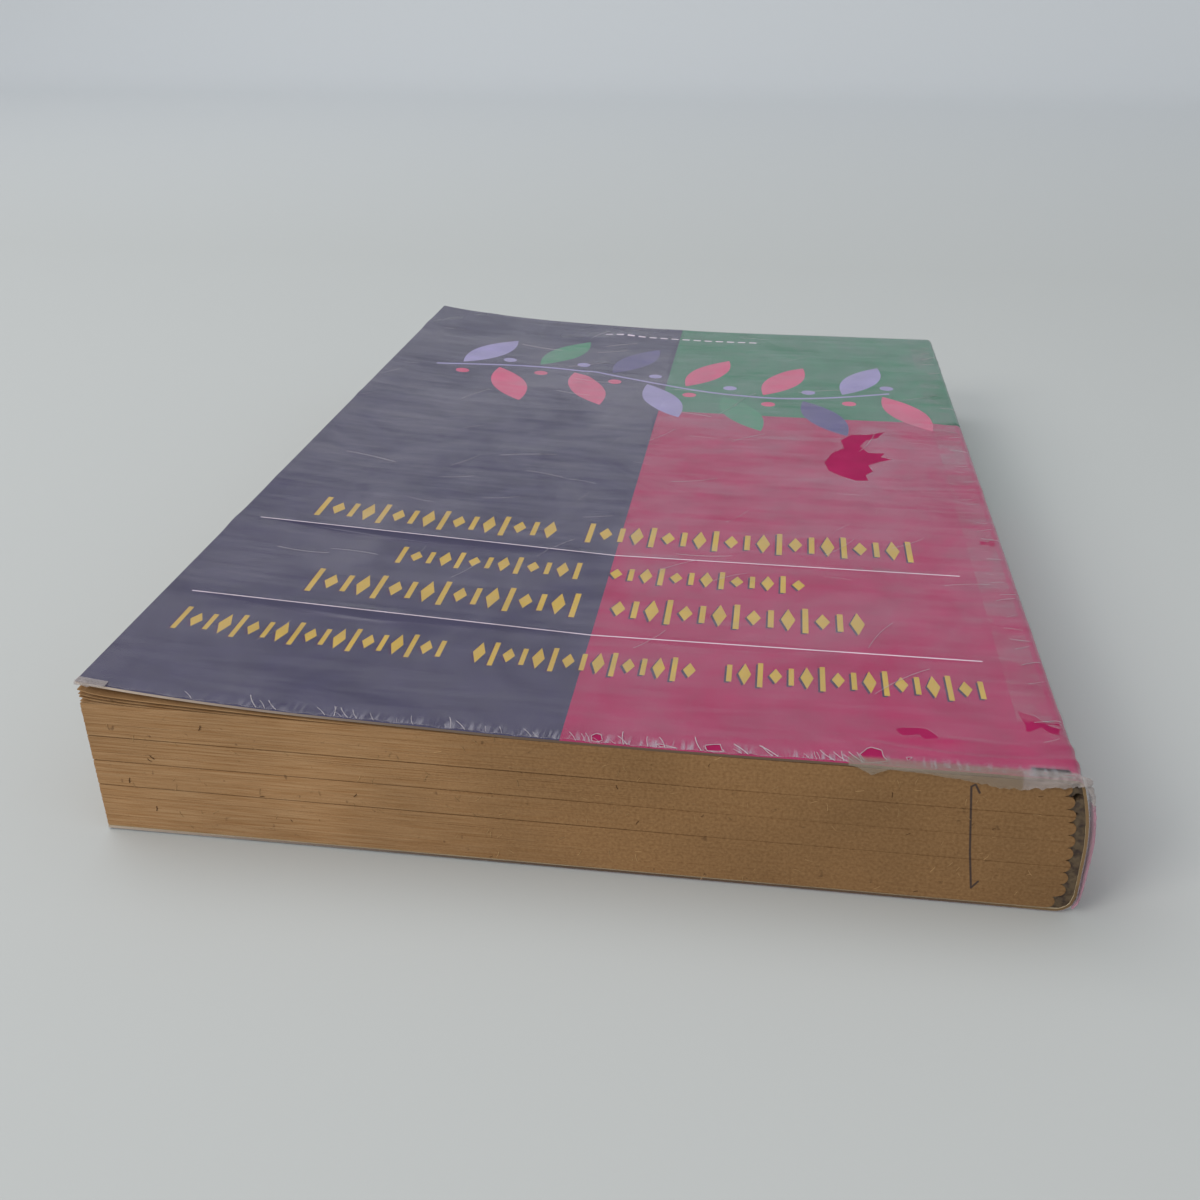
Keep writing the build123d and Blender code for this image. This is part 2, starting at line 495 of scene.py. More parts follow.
@dataclass(frozen=True)
class GradedCutEdge:
    """Cut edge of the cover card: cream where it stood clear of the pages, darker brown towards the spine."""

    name: str
    # Below 1, painted shade: the whole edge is darkened by this share.
    shade: float = 1.0
    marks: tuple[tuple[float, str], ...] = (
        (0.0, "#C2B2A2"),
        (0.16, "#9C8C80"),
        (0.34, "#75665A"),
        (0.5, "#655345"),
        (0.9, "#6A5646"),
        (0.97, "#80684A"),
    )

    def material(self) -> bpy.types.Material:
        """Build the cut edge."""
        material, tree, shader, place = start_finish(self.name)
        axes = add_node(tree, "ShaderNodeSeparateXYZ", {0: place})
        # Patches about 3 mm long shift the colour along the edge.
        edge_patchiness = add_node(tree, "ShaderNodeTexNoise", {"Vector": place, "Scale": 1 / (3 * MM), "Detail": 4.0})
        shifted = add_node(
            tree, "ShaderNodeMath", {0: edge_patchiness, 1: 14 * MM, 2: axes.outputs["X"]}, operation="MULTIPLY_ADD"
        )
        across = add_node(
            tree, "ShaderNodeMapRange", {"Value": shifted, "From Min": -64 * MM, "From Max": 78 * MM}
        )
        ramp = add_node(tree, "ShaderNodeValToRGB", {"Fac": across})
        elements = ramp.color_ramp.elements
        while len(elements) < len(self.marks):
            elements.new(1.0)
        for element, (position, colour) in zip(elements, self.marks):
            element.position = position
            red, green, blue, alpha = linear(colour)
            element.color = (red * self.shade, green * self.shade, blue * self.shade, alpha)
        set_inputs(tree, shader, {"Base Color": ramp, "Roughness": 0.85, "Specular IOR Level": 0.2})
        return material


@dataclass(frozen=True)
class AgedPaper:
    """Cheap bulky paper, tanned by light at its cut edges.

    The cut faces show leaf edges as fine lines towards the fore edge and a felted, speckled cut towards the
    spine, with a stroke of pen across the head near the spine.
    """

    leaf_pale: str = "#A78560"
    leaf_dark: str = "#946F49"
    felt_pale: str = "#94724C"
    felt_dark: str = "#7B5938"
    ink: str = "#2E2A30"

    def material(self) -> bpy.types.Material:
        """Build the paper of the block."""
        material, tree, shader, place = start_finish("tanned_bulky_paper")
        axes = add_node(tree, "ShaderNodeSeparateXYZ", {0: place})
        # Leaf edges: noise drawn out along the page, one line about every 0.3 mm of height. A leaf is a
        # quarter of that, too fine to show.
        lay = add_node(
            tree,
            "ShaderNodeMapping",
            {"Vector": place, "Scale": (1 / (9 * MM), 1 / (9 * MM), 1 / (0.3 * MM))},
        )
        leaves = add_node(tree, "ShaderNodeTexNoise", {"Vector": lay, "Scale": 1.0, "Detail": 2.0})
        leaf_colour = add_node(tree, "ShaderNodeValToRGB", {"Fac": leaves})
        leaf_colour.color_ramp.elements[0].position = 0.3
        leaf_colour.color_ramp.elements[0].color = linear(self.leaf_dark)
        leaf_colour.color_ramp.elements[1].position = 0.66
        leaf_colour.color_ramp.elements[1].color = linear(self.leaf_pale)
        # Felted cut: a fine grain of fibres about 0.45 mm long.
        grain = add_node(
            tree, "ShaderNodeTexNoise", {"Vector": place, "Scale": 1 / (0.45 * MM), "Detail": 4.0}
        )
        felt_colour = add_node(tree, "ShaderNodeValToRGB", {"Fac": grain})
        felt_colour.color_ramp.elements[0].position = 0.28
        felt_colour.color_ramp.elements[0].color = linear(self.felt_dark)
        felt_colour.color_ramp.elements[1].position = 0.7
        felt_colour.color_ramp.elements[1].color = linear(self.felt_pale)
        # The lines give way to the felted cut over the middle of the page.
        wander = add_node(
            tree, "ShaderNodeTexNoise", {"Vector": place, "Scale": 1 / (30 * MM), "Detail": 2.0}
        )
        shift = add_node(
            tree,
            "ShaderNodeMath",
            {0: wander, 1: 30 * MM, 2: axes.outputs["X"]},
            operation="MULTIPLY_ADD",
        )
        towards_spine = add_node(
            tree,
            "ShaderNodeMapRange",
            {"Value": shift, "From Min": -30 * MM, "From Max": 34 * MM, "To Max": 0.9},
            interpolation_type="SMOOTHSTEP",
        )
        cut = add_node(
            tree,
            "ShaderNodeMix",
            {"Factor": towards_spine, 6: leaf_colour, 7: felt_colour},
            data_type="RGBA",
        )
        # Dark flecks of bark and dirt, under a millimetre wide.
        fleck_noise = add_node(
            tree, "ShaderNodeTexNoise", {"Vector": place, "Scale": 1 / (1.6 * MM), "Detail": 3.0}
        )
        fleck = add_node(
            tree,
            "ShaderNodeMapRange",
            {"Value": fleck_noise, "From Min": 0.7, "From Max": 0.76, "To Max": 0.5},
        )
        flecked = add_node(
            tree, "ShaderNodeMix", {"Factor": fleck, 6: cut, 7: linear("#4A3220")}, data_type="RGBA"
        )
        # Handling stains: wide clouds that darken the cut by up to a seventh.
        cloud = add_node(tree, "ShaderNodeTexNoise", {"Vector": place, "Scale": 1 / (22 * MM), "Detail": 4.0})
        stain = add_node(
            tree,
            "ShaderNodeMapRange",
            {"Value": cloud, "From Min": 0.35, "From Max": 0.68, "To Min": 1.06, "To Max": 0.86},
        )
        stained = darkened(tree, flecked, stain)
        # The paper is browner towards the glue.
        browning = add_node(
            tree,
            "ShaderNodeMapRange",
            {
                "Value": axes.outputs["X"],
                "From Min": 25 * MM,
                "From Max": 71 * MM,
                "To Min": 1.0,
                "To Max": 0.82,
            },
        )
        browned = darkened(tree, stained, browning)
        inked = add_node(
            tree,
            "ShaderNodeMix",
            {"Factor": self.pen_mask(tree, axes), 6: browned, 7: linear(self.ink)},
            data_type="RGBA",
        )
        rough = add_node(tree, "ShaderNodeMath", {0: leaves, 1: grain}, operation="ADD")
        bump = add_node(
            tree, "ShaderNodeBump", {"Height": rough, "Strength": 0.45, "Distance": 0.12 * MM}
        )
        set_inputs(
            tree,
            shader,
            {"Base Color": inked, "Normal": bump, "Roughness": 0.9, "Specular IOR Level": 0.2},
        )
        return material

    def pen_mask(self, tree: bpy.types.NodeTree, axes: Any) -> bpy.types.NodeSocket:
        """Mask of a pen stroke on the head: a long line down, with a short hook at each end.

        Args:
            tree: The paper's node tree.
            axes: The node that splits the place into X, Y and Z.

        Returns:
            A socket that is 1 on the stroke.
        """
        strokes = [
            ((54.5, 19.8), (55.7, 9.0)),
            ((55.7, 9.0), (56.6, 3.0)),
            ((56.6, 3.0), (57.4, 4.2)),
            ((54.5, 19.8), (55.0, 20.2)),
            ((55.0, 20.2), (55.7, 18.9)),
        ]
        place = add_node(
            tree, "ShaderNodeCombineXYZ", {"X": axes.outputs["X"], "Y": axes.outputs["Z"]}
        ).outputs[0]
        nearest = None
        for (x0, z0), (x1, z1) in strokes:
            start = (x0 * MM, z0 * MM, 0)
            run = ((x1 - x0) * MM, (z1 - z0) * MM, 0)
            length_squared = run[0] ** 2 + run[1] ** 2
            from_start = add_node(tree, "ShaderNodeVectorMath", {0: place, 1: start}, operation="SUBTRACT")
            along = add_node(
                tree, "ShaderNodeVectorMath", {0: from_start, 1: run}, operation="DOT_PRODUCT"
            )
            share = add_node(
                tree,
                "ShaderNodeMath",
                {0: along.outputs["Value"], 1: length_squared},
                operation="DIVIDE",
                use_clamp=True,
            )
            foot = add_node(tree, "ShaderNodeVectorMath", {0: run, "Scale": share}, operation="SCALE")
            gap = add_node(
                tree, "ShaderNodeVectorMath", {0: from_start, 1: foot}, operation="DISTANCE"
            ).outputs["Value"]
            if nearest is None:
                nearest = gap
            else:
                nearest = add_node(
                    tree, "ShaderNodeMath", {0: nearest, 1: gap}, operation="MINIMUM"
                ).outputs[0]
        width = add_node(
            tree,
            "ShaderNodeMapRange",
            {"Value": nearest, "From Min": 0.08 * MM, "From Max": 0.21 * MM, "To Min": 0.85, "To Max": 0.0},
        )
        on_head = add_node(
            tree, "ShaderNodeMath", {0: axes.outputs["Y"], 1: -105 * MM}, operation="LESS_THAN"
        )
        return add_node(tree, "ShaderNodeMath", {0: width, 1: on_head}, operation="MULTIPLY").outputs[0]


@dataclass(frozen=True)
class BindingGlue:
    """Animal or resin glue of the spine: browned and dull, with painted shade in the pits between its lumps.
    """

    colour: str = "#564631"
    painted_pit_shade: str = "#2E1D14"

    def material(self) -> bpy.types.Material:
        """Build the glue."""
        material, tree, shader, place = start_finish("browned_binding_glue")
        # Lumps about 1.2 mm wide, with painted shade in the low places between them.
        lump = add_node(tree, "ShaderNodeTexNoise", {"Vector": place, "Scale": 1 / (1.2 * MM), "Detail": 4.0})
        ramp = add_node(tree, "ShaderNodeValToRGB", {"Fac": lump})
        ramp.color_ramp.elements[0].position = 0.36
        ramp.color_ramp.elements[0].color = linear(self.painted_pit_shade)
        ramp.color_ramp.elements[1].position = 0.56
        ramp.color_ramp.elements[1].color = linear(self.colour)
        bump = add_node(tree, "ShaderNodeBump", {"Height": lump, "Strength": 0.6, "Distance": 0.3 * MM})
        set_inputs(tree, shader, {"Base Color": ramp, "Normal": bump, "Roughness": 0.6})
        return material


@dataclass(frozen=True)
class HazedFilm:
    """Clear soft plastic film, clouded by years of handling.

    Its haze is milky, in smoky patches with drawn-out scuffs, so print shows through it greyed. Its gloss is
    soft, from a skin of fine scratches.

    Attributes:
        name: What the finish is.
        least: How opaque the haze is where it is thinnest.
        most: The same where it is thickest.
        least_at_head: Share of the haze that is left at the head; it grows to full towards the tail, a
            painted reflection.
        colour: Colour of the haze.
        roughness: Roughness of its gloss.
        crazing: How opaque the white cracks at the head are.
        fade_in: Distance over which a hem's haze grows towards the head, or 0 for film with no fade.
    """

    name: str
    least: float = 0.01
    most: float = 0.13
    least_at_head: float = 0.5
    colour: str = "#C6C2CE"
    roughness: float = 0.3
    crazing: float = 0.0
    fade_in: float = 0.0

    def material(self) -> bpy.types.Material:
        """Build the film."""
        material, tree, shader, place = start_finish(self.name)
        # Smoky patches about 30 mm wide.
        smoke = add_node(
            tree,
            "ShaderNodeTexNoise",
            {"Vector": place, "Scale": 1 / (30 * MM), "Detail": 6.0, "Roughness": 0.6, "Distortion": 1.2},
        )
        # Scuffs about 2 mm wide and ten times as long, aslant.
        slant = add_node(
            tree,
            "ShaderNodeMapping",
            {
                "Vector": place,
                "Rotation": (0, 0, math.radians(-28)),
                "Scale": (1 / (26 * MM), 1 / (2.2 * MM), 1 / (26 * MM)),
            },
        )
        scuff = add_node(
            tree, "ShaderNodeTexNoise", {"Vector": slant, "Scale": 1.0, "Detail": 4.0, "Distortion": 0.8}
        )
        cloudy = add_node(tree, "ShaderNodeMath", {0: scuff, 1: 0.55, 2: smoke}, operation="MULTIPLY_ADD")
        haze = add_node(
            tree,
            "ShaderNodeMapRange",
            {
                "Value": cloudy,
                "From Min": 0.6,
                "From Max": 1.05,
                "To Min": self.least,
                "To Max": self.most,
            },
        )
        # The haze grows from the head towards the tail: painted reflection, stronger at a grazing angle.
        axes = add_node(tree, "ShaderNodeSeparateXYZ", {0: place})
        painted_sheen_gradient = add_node(
            tree,
            "ShaderNodeMapRange",
            {
                "Value": axes.outputs["Y"],
                "From Min": -SHAPE.half_height * MM,
                "From Max": 0.3 * SHAPE.half_height * MM,
                "To Min": self.least_at_head,
                "To Max": 1.0,
            },
        )
        alpha = add_node(tree, "ShaderNodeMath", {0: haze, 1: painted_sheen_gradient}, operation="MULTIPLY")
        # Crazing: white cracks that run in from the cut edge at the head, one about every 0.6 mm, and fade
        # within 3 mm. They are thicker towards the spine.
        streak = add_node(
            tree,
            "ShaderNodeMapping",
            {
                "Vector": place,
                "Rotation": (0, 0, math.radians(-28)),
                "Scale": (1 / (0.6 * MM), 1 / (5 * MM), 1 / (5 * MM)),
            },
        )
        cracks = add_node(tree, "ShaderNodeTexNoise", {"Vector": streak, "Scale": 1.0, "Detail": 2.0})
        cracked = add_node(
            tree, "ShaderNodeMapRange", {"Value": cracks, "From Min": 0.48, "From Max": 0.66}
        )
        near_edge = add_node(
            tree,
            "ShaderNodeMapRange",
            {
                "Value": axes.outputs["Y"],
                "From Min": (3.2 - SHAPE.half_height) * MM,
                "From Max": (0.3 - SHAPE.half_height) * MM,
            },
            interpolation_type="SMOOTHSTEP",
        )
        near_spine = add_node(
            tree,
            "ShaderNodeMapRange",
            {
                "Value": axes.outputs["X"],
                "From Min": -60 * MM,
                "From Max": 12 * MM,
                "To Min": 0.1 * self.crazing,
                "To Max": self.crazing,
            },
        )
        frosted = add_node(tree, "ShaderNodeMath", {0: near_edge, 1: near_spine}, operation="MULTIPLY")
        alpha = add_node(
            tree,
            "ShaderNodeMath",
            {0: cracked, 1: frosted, 2: alpha},
            operation="MULTIPLY_ADD",
            use_clamp=True,
        )
        if self.fade_in:
            # A hem melts into the sheet that it is torn from, 2.1 mm in from the head.
            melted = add_node(
                tree,
                "ShaderNodeMapRange",
                {
                    "Value": axes.outputs["Y"],
                    "From Min": (2.1 - SHAPE.half_height) * MM,
                    "From Max": (2.1 - self.fade_in - SHAPE.half_height) * MM,
                },
                interpolation_type="SMOOTHSTEP",
            )
            alpha = add_node(tree, "ShaderNodeMath", {0: alpha, 1: melted}, operation="MULTIPLY")
        # Fine scratches, under a millimetre wide.
        scratch = add_node(tree, "ShaderNodeTexNoise", {"Vector": slant, "Scale": 4.0, "Detail": 3.0})
        bump = add_node(
            tree, "ShaderNodeBump", {"Height": scratch, "Strength": 0.25, "Distance": 0.1 * MM}
        )
        set_inputs(
            tree,
            shader,
            {
                "Alpha": alpha,
                "Normal": bump,
                "Base Color": linear(self.colour),
                "Roughness": self.roughness,
            },
        )
        return material


@dataclass(frozen=True)
class BareFibre:
    """Wood fibre of cheap paper, dry and matt, a little uneven in tone."""

    name: str
    colour: str

    def material(self) -> bpy.types.Material:
        """Build the fibre."""
        material, tree, shader, place = start_finish(self.name)
        # The tone changes from fibre to fibre, over about 4 mm.
        tone = add_node(tree, "ShaderNodeTexNoise", {"Vector": place, "Scale": 1 / (4 * MM), "Detail": 3.0})
        shade = add_node(
            tree,
            "ShaderNodeMapRange",
            {"Value": tone, "From Min": 0.35, "From Max": 0.65, "To Min": 0.7, "To Max": 1.15},
        )
        colour = darkened(tree, linear(self.colour), shade)
        set_inputs(tree, shader, {"Base Color": colour, "Roughness": 0.9, "Specular IOR Level": 0.2})
        return material


@dataclass(frozen=True)
class PlainSurface:
    """The matt, pale table top and wall, with no grain of their own, and painted light that makes them paler
    towards the back.
    """

    name: str
    near: str
    far: str

    def material(self) -> bpy.types.Material:
        """Build the surface."""
        material, tree, shader, place = start_finish(self.name)
        axes = add_node(tree, "ShaderNodeSeparateXYZ", {0: place})
        # Painted light: the table and the wall behind it grow a shade paler towards the back, over 0.8 m.
        depth = add_node(
            tree, "ShaderNodeMapRange", {"Value": axes.outputs["Y"], "From Min": 0.3, "From Max": 1.1}
        )
        colour = add_node(
            tree,
            "ShaderNodeMix",
            {"Factor": depth, 6: linear(self.near), 7: linear(self.far)},
            data_type="RGBA",
        )
        set_inputs(tree, shader, {"Base Color": colour, "Roughness": 0.8, "Specular IOR Level": 0.2})
        return material


# ---------------------------------------------------------------- the book's shape


@dataclass
class BookShape:
    """Sizes of the closed book, and its outside unrolled into a flat pattern.

    The pattern's first number, u, is X on the front, and then runs on round the spine and back along the
    underside. The second is Y. An inset moves a place in from the outside of the film.
    """

    half_width: float = CAD_BOX[1][0] / MM
    half_height: float = CAD_BOX[1][1] / MM
    spine_height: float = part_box("spine_film")[1][2] / MM
    lower_corner: float = 3.0
    upper_corner: float = 1.6
    upright_height: float = 10.0
    spine_curve: float = 34.0
    curl_length: float = 91.0
    curl_head: float = 4.0
    curl_tail: float = 5.0
    film: float = 0.25
    card: float = 0.40
    corner_steps: int = 12
    curve_steps: int = 16
    u: Array = field(init=False)
    x: Array = field(init=False)
    z: Array = field(init=False)
    turn: Array = field(init=False)

    def __post_init__(self) -> None:
        """Lay the outside of the spine out as runs and arcs."""
        self.lean = math.asin(
            (self.spine_height - self.upright_height - self.upper_corner)
            / (self.spine_curve - self.upper_corner)
        )
        self.curve_x = self.half_width - self.spine_curve
        self.upper_x = self.curve_x + (self.spine_curve - self.upper_corner) * math.cos(self.lean)
        self.upper_z = self.spine_height - self.upper_corner
        self.lower_x = self.half_width - self.lower_corner
        quarter = math.pi / 2
        runs = [
            self.arc(self.upper_x, self.upper_z, self.upper_corner, quarter, self.lean, self.corner_steps),
            self.arc(self.curve_x, self.upright_height, self.spine_curve, self.lean, 0, self.curve_steps),
            self.arc(self.lower_x, self.lower_corner, self.lower_corner, 0, -quarter, self.corner_steps),
        ]
        front = np.array([[-self.half_width, self.spine_height, quarter]])
        back = np.array([[-self.half_width, 0, -quarter]])
        path = np.vstack([front, *runs, back])
        steps = np.hypot(np.diff(path[:, 0]), np.diff(path[:, 1]))
        self.u = np.concatenate([[0], np.cumsum(steps)]) - self.half_width
        self.x, self.z, self.turn = path.T
        self.corner_u = self.u[1]
        self.under_u = self.u[-2]

    @staticmethod
    def arc(x: float, z: float, radius: float, start: float, end: float, count: int) -> Array:
        """Rows of X, Z and the outward angle along an arc."""
        angle = np.linspace(start, end, count)
        return np.column_stack([x + radius * np.cos(angle), z + radius * np.sin(angle), angle])

    def wall_u(self, z: float) -> float:
        """The pattern's u on the upright part of the spine at height z."""
        upright_end = self.u[self.corner_steps + self.curve_steps]
        return float(upright_end + self.upright_height - z)

    def under(self, x: float) -> float:
        """The pattern's u on the underside at X."""
        return float(self.under_u + self.lower_x - x)

    def rise(self, x: Array, y: Array) -> Array:
        """How far the front panel has curled up."""
        t = np.clip((self.curl_length - self.half_width - x) / self.curl_length, 0, 1)
        towards_tail = (y + self.half_height) / (2 * self.half_height)
        edge = self.curl_head + (self.curl_tail - self.curl_head) * towards_tail
        wave = 0.12 * np.sin(x / 11 + 0.6) * np.sin(y / 37 + 1) * smooth_step(-x, -60, -20)
        return edge * (0.75 * t**2 + 0.25 * t**6) + np.maximum(wave, 0)

    def place(self, u: Array, y: Array, inset: Array | float) -> Array:
        """Fold places of the pattern round the book.

        Args:
            u: First number of each place.
            y: Second number of each place.
            inset: How far in from the outside of the film, one number or one for each place.

        Returns:
            One row of X, Y and Z for each place.
        """
        x = np.interp(u, self.u, self.x)
        z = np.interp(u, self.u, self.z)
        turn = np.interp(u, self.u, self.turn)
        z = z + np.where(u < self.corner_u, self.rise(x, y), 0)
        return np.column_stack([x - inset * np.cos(turn), y, z - inset * np.sin(turn)])

    def stations(self, start: float, end: float, spacing: float) -> Array:
        """Places along u from start to end, closer together where the pattern bends."""
        marks = [start]
        while marks[-1] < end:
            u = marks[-1]
            on_upper = self.corner_u - 0.3 < u < self.corner_u + 2.6
            on_lower = self.under_u - 4.9 < u < self.under_u + 0.2
            step = 0.3 if on_upper or on_lower else spacing
            marks.append(u + step)
        marks[-1] = end
        return np.array(marks)

    def spine_face(self, z: Array, inset: float) -> Array:
        """X of the spine's face, moved in by inset, at height z."""
        z = np.asarray(z, float)
        low = np.sqrt(np.clip((self.lower_corner - inset) ** 2 - (self.lower_corner - z) ** 2, 0, None))
        high = np.sqrt(np.clip(max(self.upper_corner - inset, 0) ** 2 - (z - self.upper_z) ** 2, 0, None))
        rise = np.clip(z - self.upright_height, 0, None)
        wall = self.curve_x + np.sqrt((self.spine_curve - inset) ** 2 - rise**2)
        face = np.where(z < self.lower_corner, self.lower_x + low, wall)
        return np.where(z > self.upper_z, self.upper_x + high, face)


SHAPE = BookShape()
FRONT_CREASE = next(j for j in frame["joints"] if j["name"] == "front_cover_hinge")


@dataclass
class Sheet:
    """A thin closed sheet, cut in the flat pattern and folded round the book.

    Attributes:
        name: The piece's name.
        outline: Its cut edge.
        outer: Inset of its outer face.
        inner: Inset of its inner face.
        spacing: Distance between its vertices.
        holes: Places cut or torn away.
        shapes: Outlines on its outer face with the slot number of each, where a later one covers an earlier.
        lift: How far the sheet stands off at each place.
        fine_head: Length of the stretch at the head that has rows every half millimetre.
    """

    name: str
    outline: Outline
    outer: float
    inner: float
    spacing: float = 1.5
    holes: list[Outline] = field(default_factory=list)
    shapes: list[tuple[int, Outline]] = field(default_factory=list)
    lift: Callable[[Array, Array], Array] | None = None
    fine_head: float = 0.0

    def triangles(self) -> tuple[Array, Array]:
        """Cut the sheet's pattern into triangles that follow every edge on it.

        Returns:
            The pattern's places, and the three place numbers of each triangle.
        """
        corners = np.array(self.outline)
        u_marks = SHAPE.stations(corners[:, 0].min(), corners[:, 0].max(), self.spacing)
        low, high = corners[:, 1].min(), corners[:, 1].max()
        coarse_from = low + self.fine_head
        y_marks = np.linspace(coarse_from, high, round((high - coarse_from) / self.spacing) + 1)
        y_marks = np.concatenate([np.arange(low, coarse_from, 0.5), y_marks])
        grid = np.array([(u, y) for u in u_marks for y in y_marks])
        places = [tuple(p) for p in grid]
        edges: list[tuple[int, int]] = []
        for loop in [self.outline, *self.holes, *(outline for _, outline in self.shapes)]:
            first = len(places)
            places += loop
            edges += [(first + i, first + (i + 1) % len(loop)) for i in range(len(loop))]
        cut = delaunay_2d_cdt([Vector(p) for p in places], edges, [], 0, 1e-4)
        flat = np.array([tuple(p) for p in cut[0]])
        faces = np.array(cut[2])
        middle = flat[faces].mean(axis=1)
        keep = inside(self.outline, middle)
        for hole in self.holes:
            keep &= ~inside(hole, middle)
        faces = faces[keep]
        used = np.unique(faces)
        renumber = np.zeros(len(flat), int)
        renumber[used] = np.arange(len(used))
        return flat[used], renumber[faces]

    def build(
        self, finishes: Sequence[bpy.types.Material], inner_slot: int, rim_slot: int
    ) -> bpy.types.Object:
        """Make the piece.

        Args:
            finishes: Materials, in slot order.
            inner_slot: Slot of the inner face.
            rim_slot: Slot of the cut edges.

        Returns:
            The closed sheet.
        """
        flat, faces = self.triangles()
        u, y = flat.T
        stand = self.lift(u, y) if self.lift else 0.0
        outer = SHAPE.place(u, y, self.outer - stand)
        inner = SHAPE.place(u, y, self.inner - stand)
        count = len(flat)
        middle = flat[faces].mean(axis=1)
        slots = np.zeros(len(faces), int)
        for slot, outline in self.shapes:
            slots[inside(outline, middle)] = slot
        a, b, c = flat[faces[:, 0]], flat[faces[:, 1]], flat[faces[:, 2]]
        area = (b[:, 0] - a[:, 0]) * (c[:, 1] - a[:, 1]) - (b[:, 1] - a[:, 1]) * (c[:, 0] - a[:, 0])
        faces = np.where((area < 0)[:, None], faces[:, ::-1], faces)
        edge_faces: dict[tuple[int, int], int] = {}
        for p, q, r in faces.tolist():
            for edge in ((p, q), (q, r), (r, p)):
                edge_faces[edge] = edge_faces.get(edge, 0) + 1
        rim = [(p, q) for p, q in edge_faces if (q, p) not in edge_faces]
        all_faces = faces.tolist()
        all_faces += (faces[:, ::-1] + count).tolist()
        all_faces += [[q, p, p + count, q + count] for p, q in rim]
        all_slots = slots.tolist() + [inner_slot] * len(faces) + [rim_slot] * len(rim)
        return make_piece(self.name, np.vstack([outer, inner]), all_faces, finishes, all_slots)


# ---------------------------------------------------------------- pages


@dataclass
class PageBlock:
    """The block of pages in folded sections, with a few leaves lifted at its top."""

    bottom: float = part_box("page_block")[0][2] / MM
    top: float = SHAPE.spine_height - SHAPE.film - SHAPE.card - 0.10
    section_count: int = 10
    ridge_inset: float = SHAPE.film + SHAPE.card + 1.2
    ridge_depth: float = 0.95
    swell: float = 0.8
    fore_edge_lean: float = 0.4
    ledges: int = 120
    ledge_depth: float = 0.11
    open_sections: tuple[int, ...] = (3, 5, 7)
    head_count: int = 64
    fore_count: int = 42

    def ridge_x(self, z: Array) -> Array:
        """X of the folded backs of the sections at height z."""
        pitch = (self.top - self.bottom) / self.section_count
        radius = ((pitch / 2) ** 2 + self.ridge_depth**2) / (2 * self.ridge_depth)
        index = np.clip(np.floor((z - self.bottom) / pitch), 0, self.section_count - 1)
        middle = self.bottom + (index + 0.5) * pitch
        peak = SHAPE.spine_face(middle, self.ridge_inset)
        return peak - radius + np.sqrt(np.clip(radius**2 - (z - middle) ** 2, 0, None))

    def ring(self, share: float, seed: int) -> Array:
        """The block's outline at one leaf.

        Args:
            share: How far up the block the leaf lies, from 0 to 1.
            seed: Number of the leaf.

        Returns:
            One row of X, Y and Z for each corner of the outline, turning left seen from above.
        """
        rng = np.random.default_rng(seed)
        z = self.bottom + share * (self.top - self.bottom)
        half = SHAPE.half_height
        left = -SHAPE.half_width + self.fore_edge_lean * (1 - share)
        right = float(self.ridge_x(np.array(z)))
        head_x = np.linspace(left, right, self.head_count)
        tail_x = np.linspace(right, left, 32)
        side_y = np.linspace(-half, half, 10)[1:-1]
        fore_y = np.linspace(half, -half, self.fore_count + 2)[1:-1]
        ledge = self.ledge_depth * rng.uniform(-0.5, 0.5)
        calm = 1 - 0.75 * smooth_step(head_x, -25, 25)
        wobble = rolling_noise(np.column_stack([head_x, np.full_like(head_x, seed * 7.0)]), 9, 3) * 0.05
        head_y = -half + np.maximum((ledge + self.ledge_depth / 2 + wobble) * calm, 0)
        tail_y = half - (ledge + self.ledge_depth / 2)
        fore_wobble = rolling_noise(np.column_stack([fore_y, np.full_like(fore_y, seed * 5.0)]), 14, 9) * 0.05
        fore_x = left + np.maximum(ledge + self.ledge_depth / 2 + fore_wobble, 0)
        points = [
            np.column_stack([head_x, head_y]),
            np.column_stack([np.full_like(side_y, right), side_y]),
            np.column_stack([tail_x, np.full_like(tail_x, tail_y)]),
            np.column_stack([fore_x, fore_y]),
        ]
        flat = np.vstack(points)
        spread = np.clip((20 - flat[:, 0]) / SHAPE.curl_length, 0, 1)
        height = z + share * self.swell * spread
        return np.column_stack([flat, height])

    def build(self, paper: bpy.types.Material) -> bpy.types.Object:
        """Make the block from a stack of outlines, two to each leaf."""
        pitch = (self.top - self.bottom) / self.section_count
        gaps = [(index + 0.5) * pitch / (self.top - self.bottom) for index in self.open_sections]
        rings = []
        for leaf in range(self.ledges):
            low, high = leaf / self.ledges, (leaf + 1) / self.ledges
            lower, upper = self.ring(low, leaf), self.ring(high, leaf)
            if any(low <= gap < high for gap in gaps):
                # Where a section falls open at its middle, the leaf lies back and leaves a dark line.
                shallow = 1 - 0.75 * smooth_step(lower[: self.head_count, 0], -25, 30)
                for outline in (lower, upper):
                    outline[: self.head_count, 1] += 0.32 * shallow
                    outline[-self.fore_count :, 0] += 0.35
            rings += [lower, upper]
        count = len(rings[0])
        faces = []
        for level in range(len(rings) - 1):
            base = level * count
            for i in range(count):
                j = (i + 1) % count
                faces.append([base + i, base + j, base + count + j, base + count + i])
        last = (len(rings) - 1) * count
        faces.append(list(range(count))[::-1])
        faces.append([last + i for i in range(count)])
        piece = make_piece("page_block", np.vstack(rings), faces, [paper], sharp_degrees=25)
        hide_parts("page_block")
        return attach(piece, "text_block")


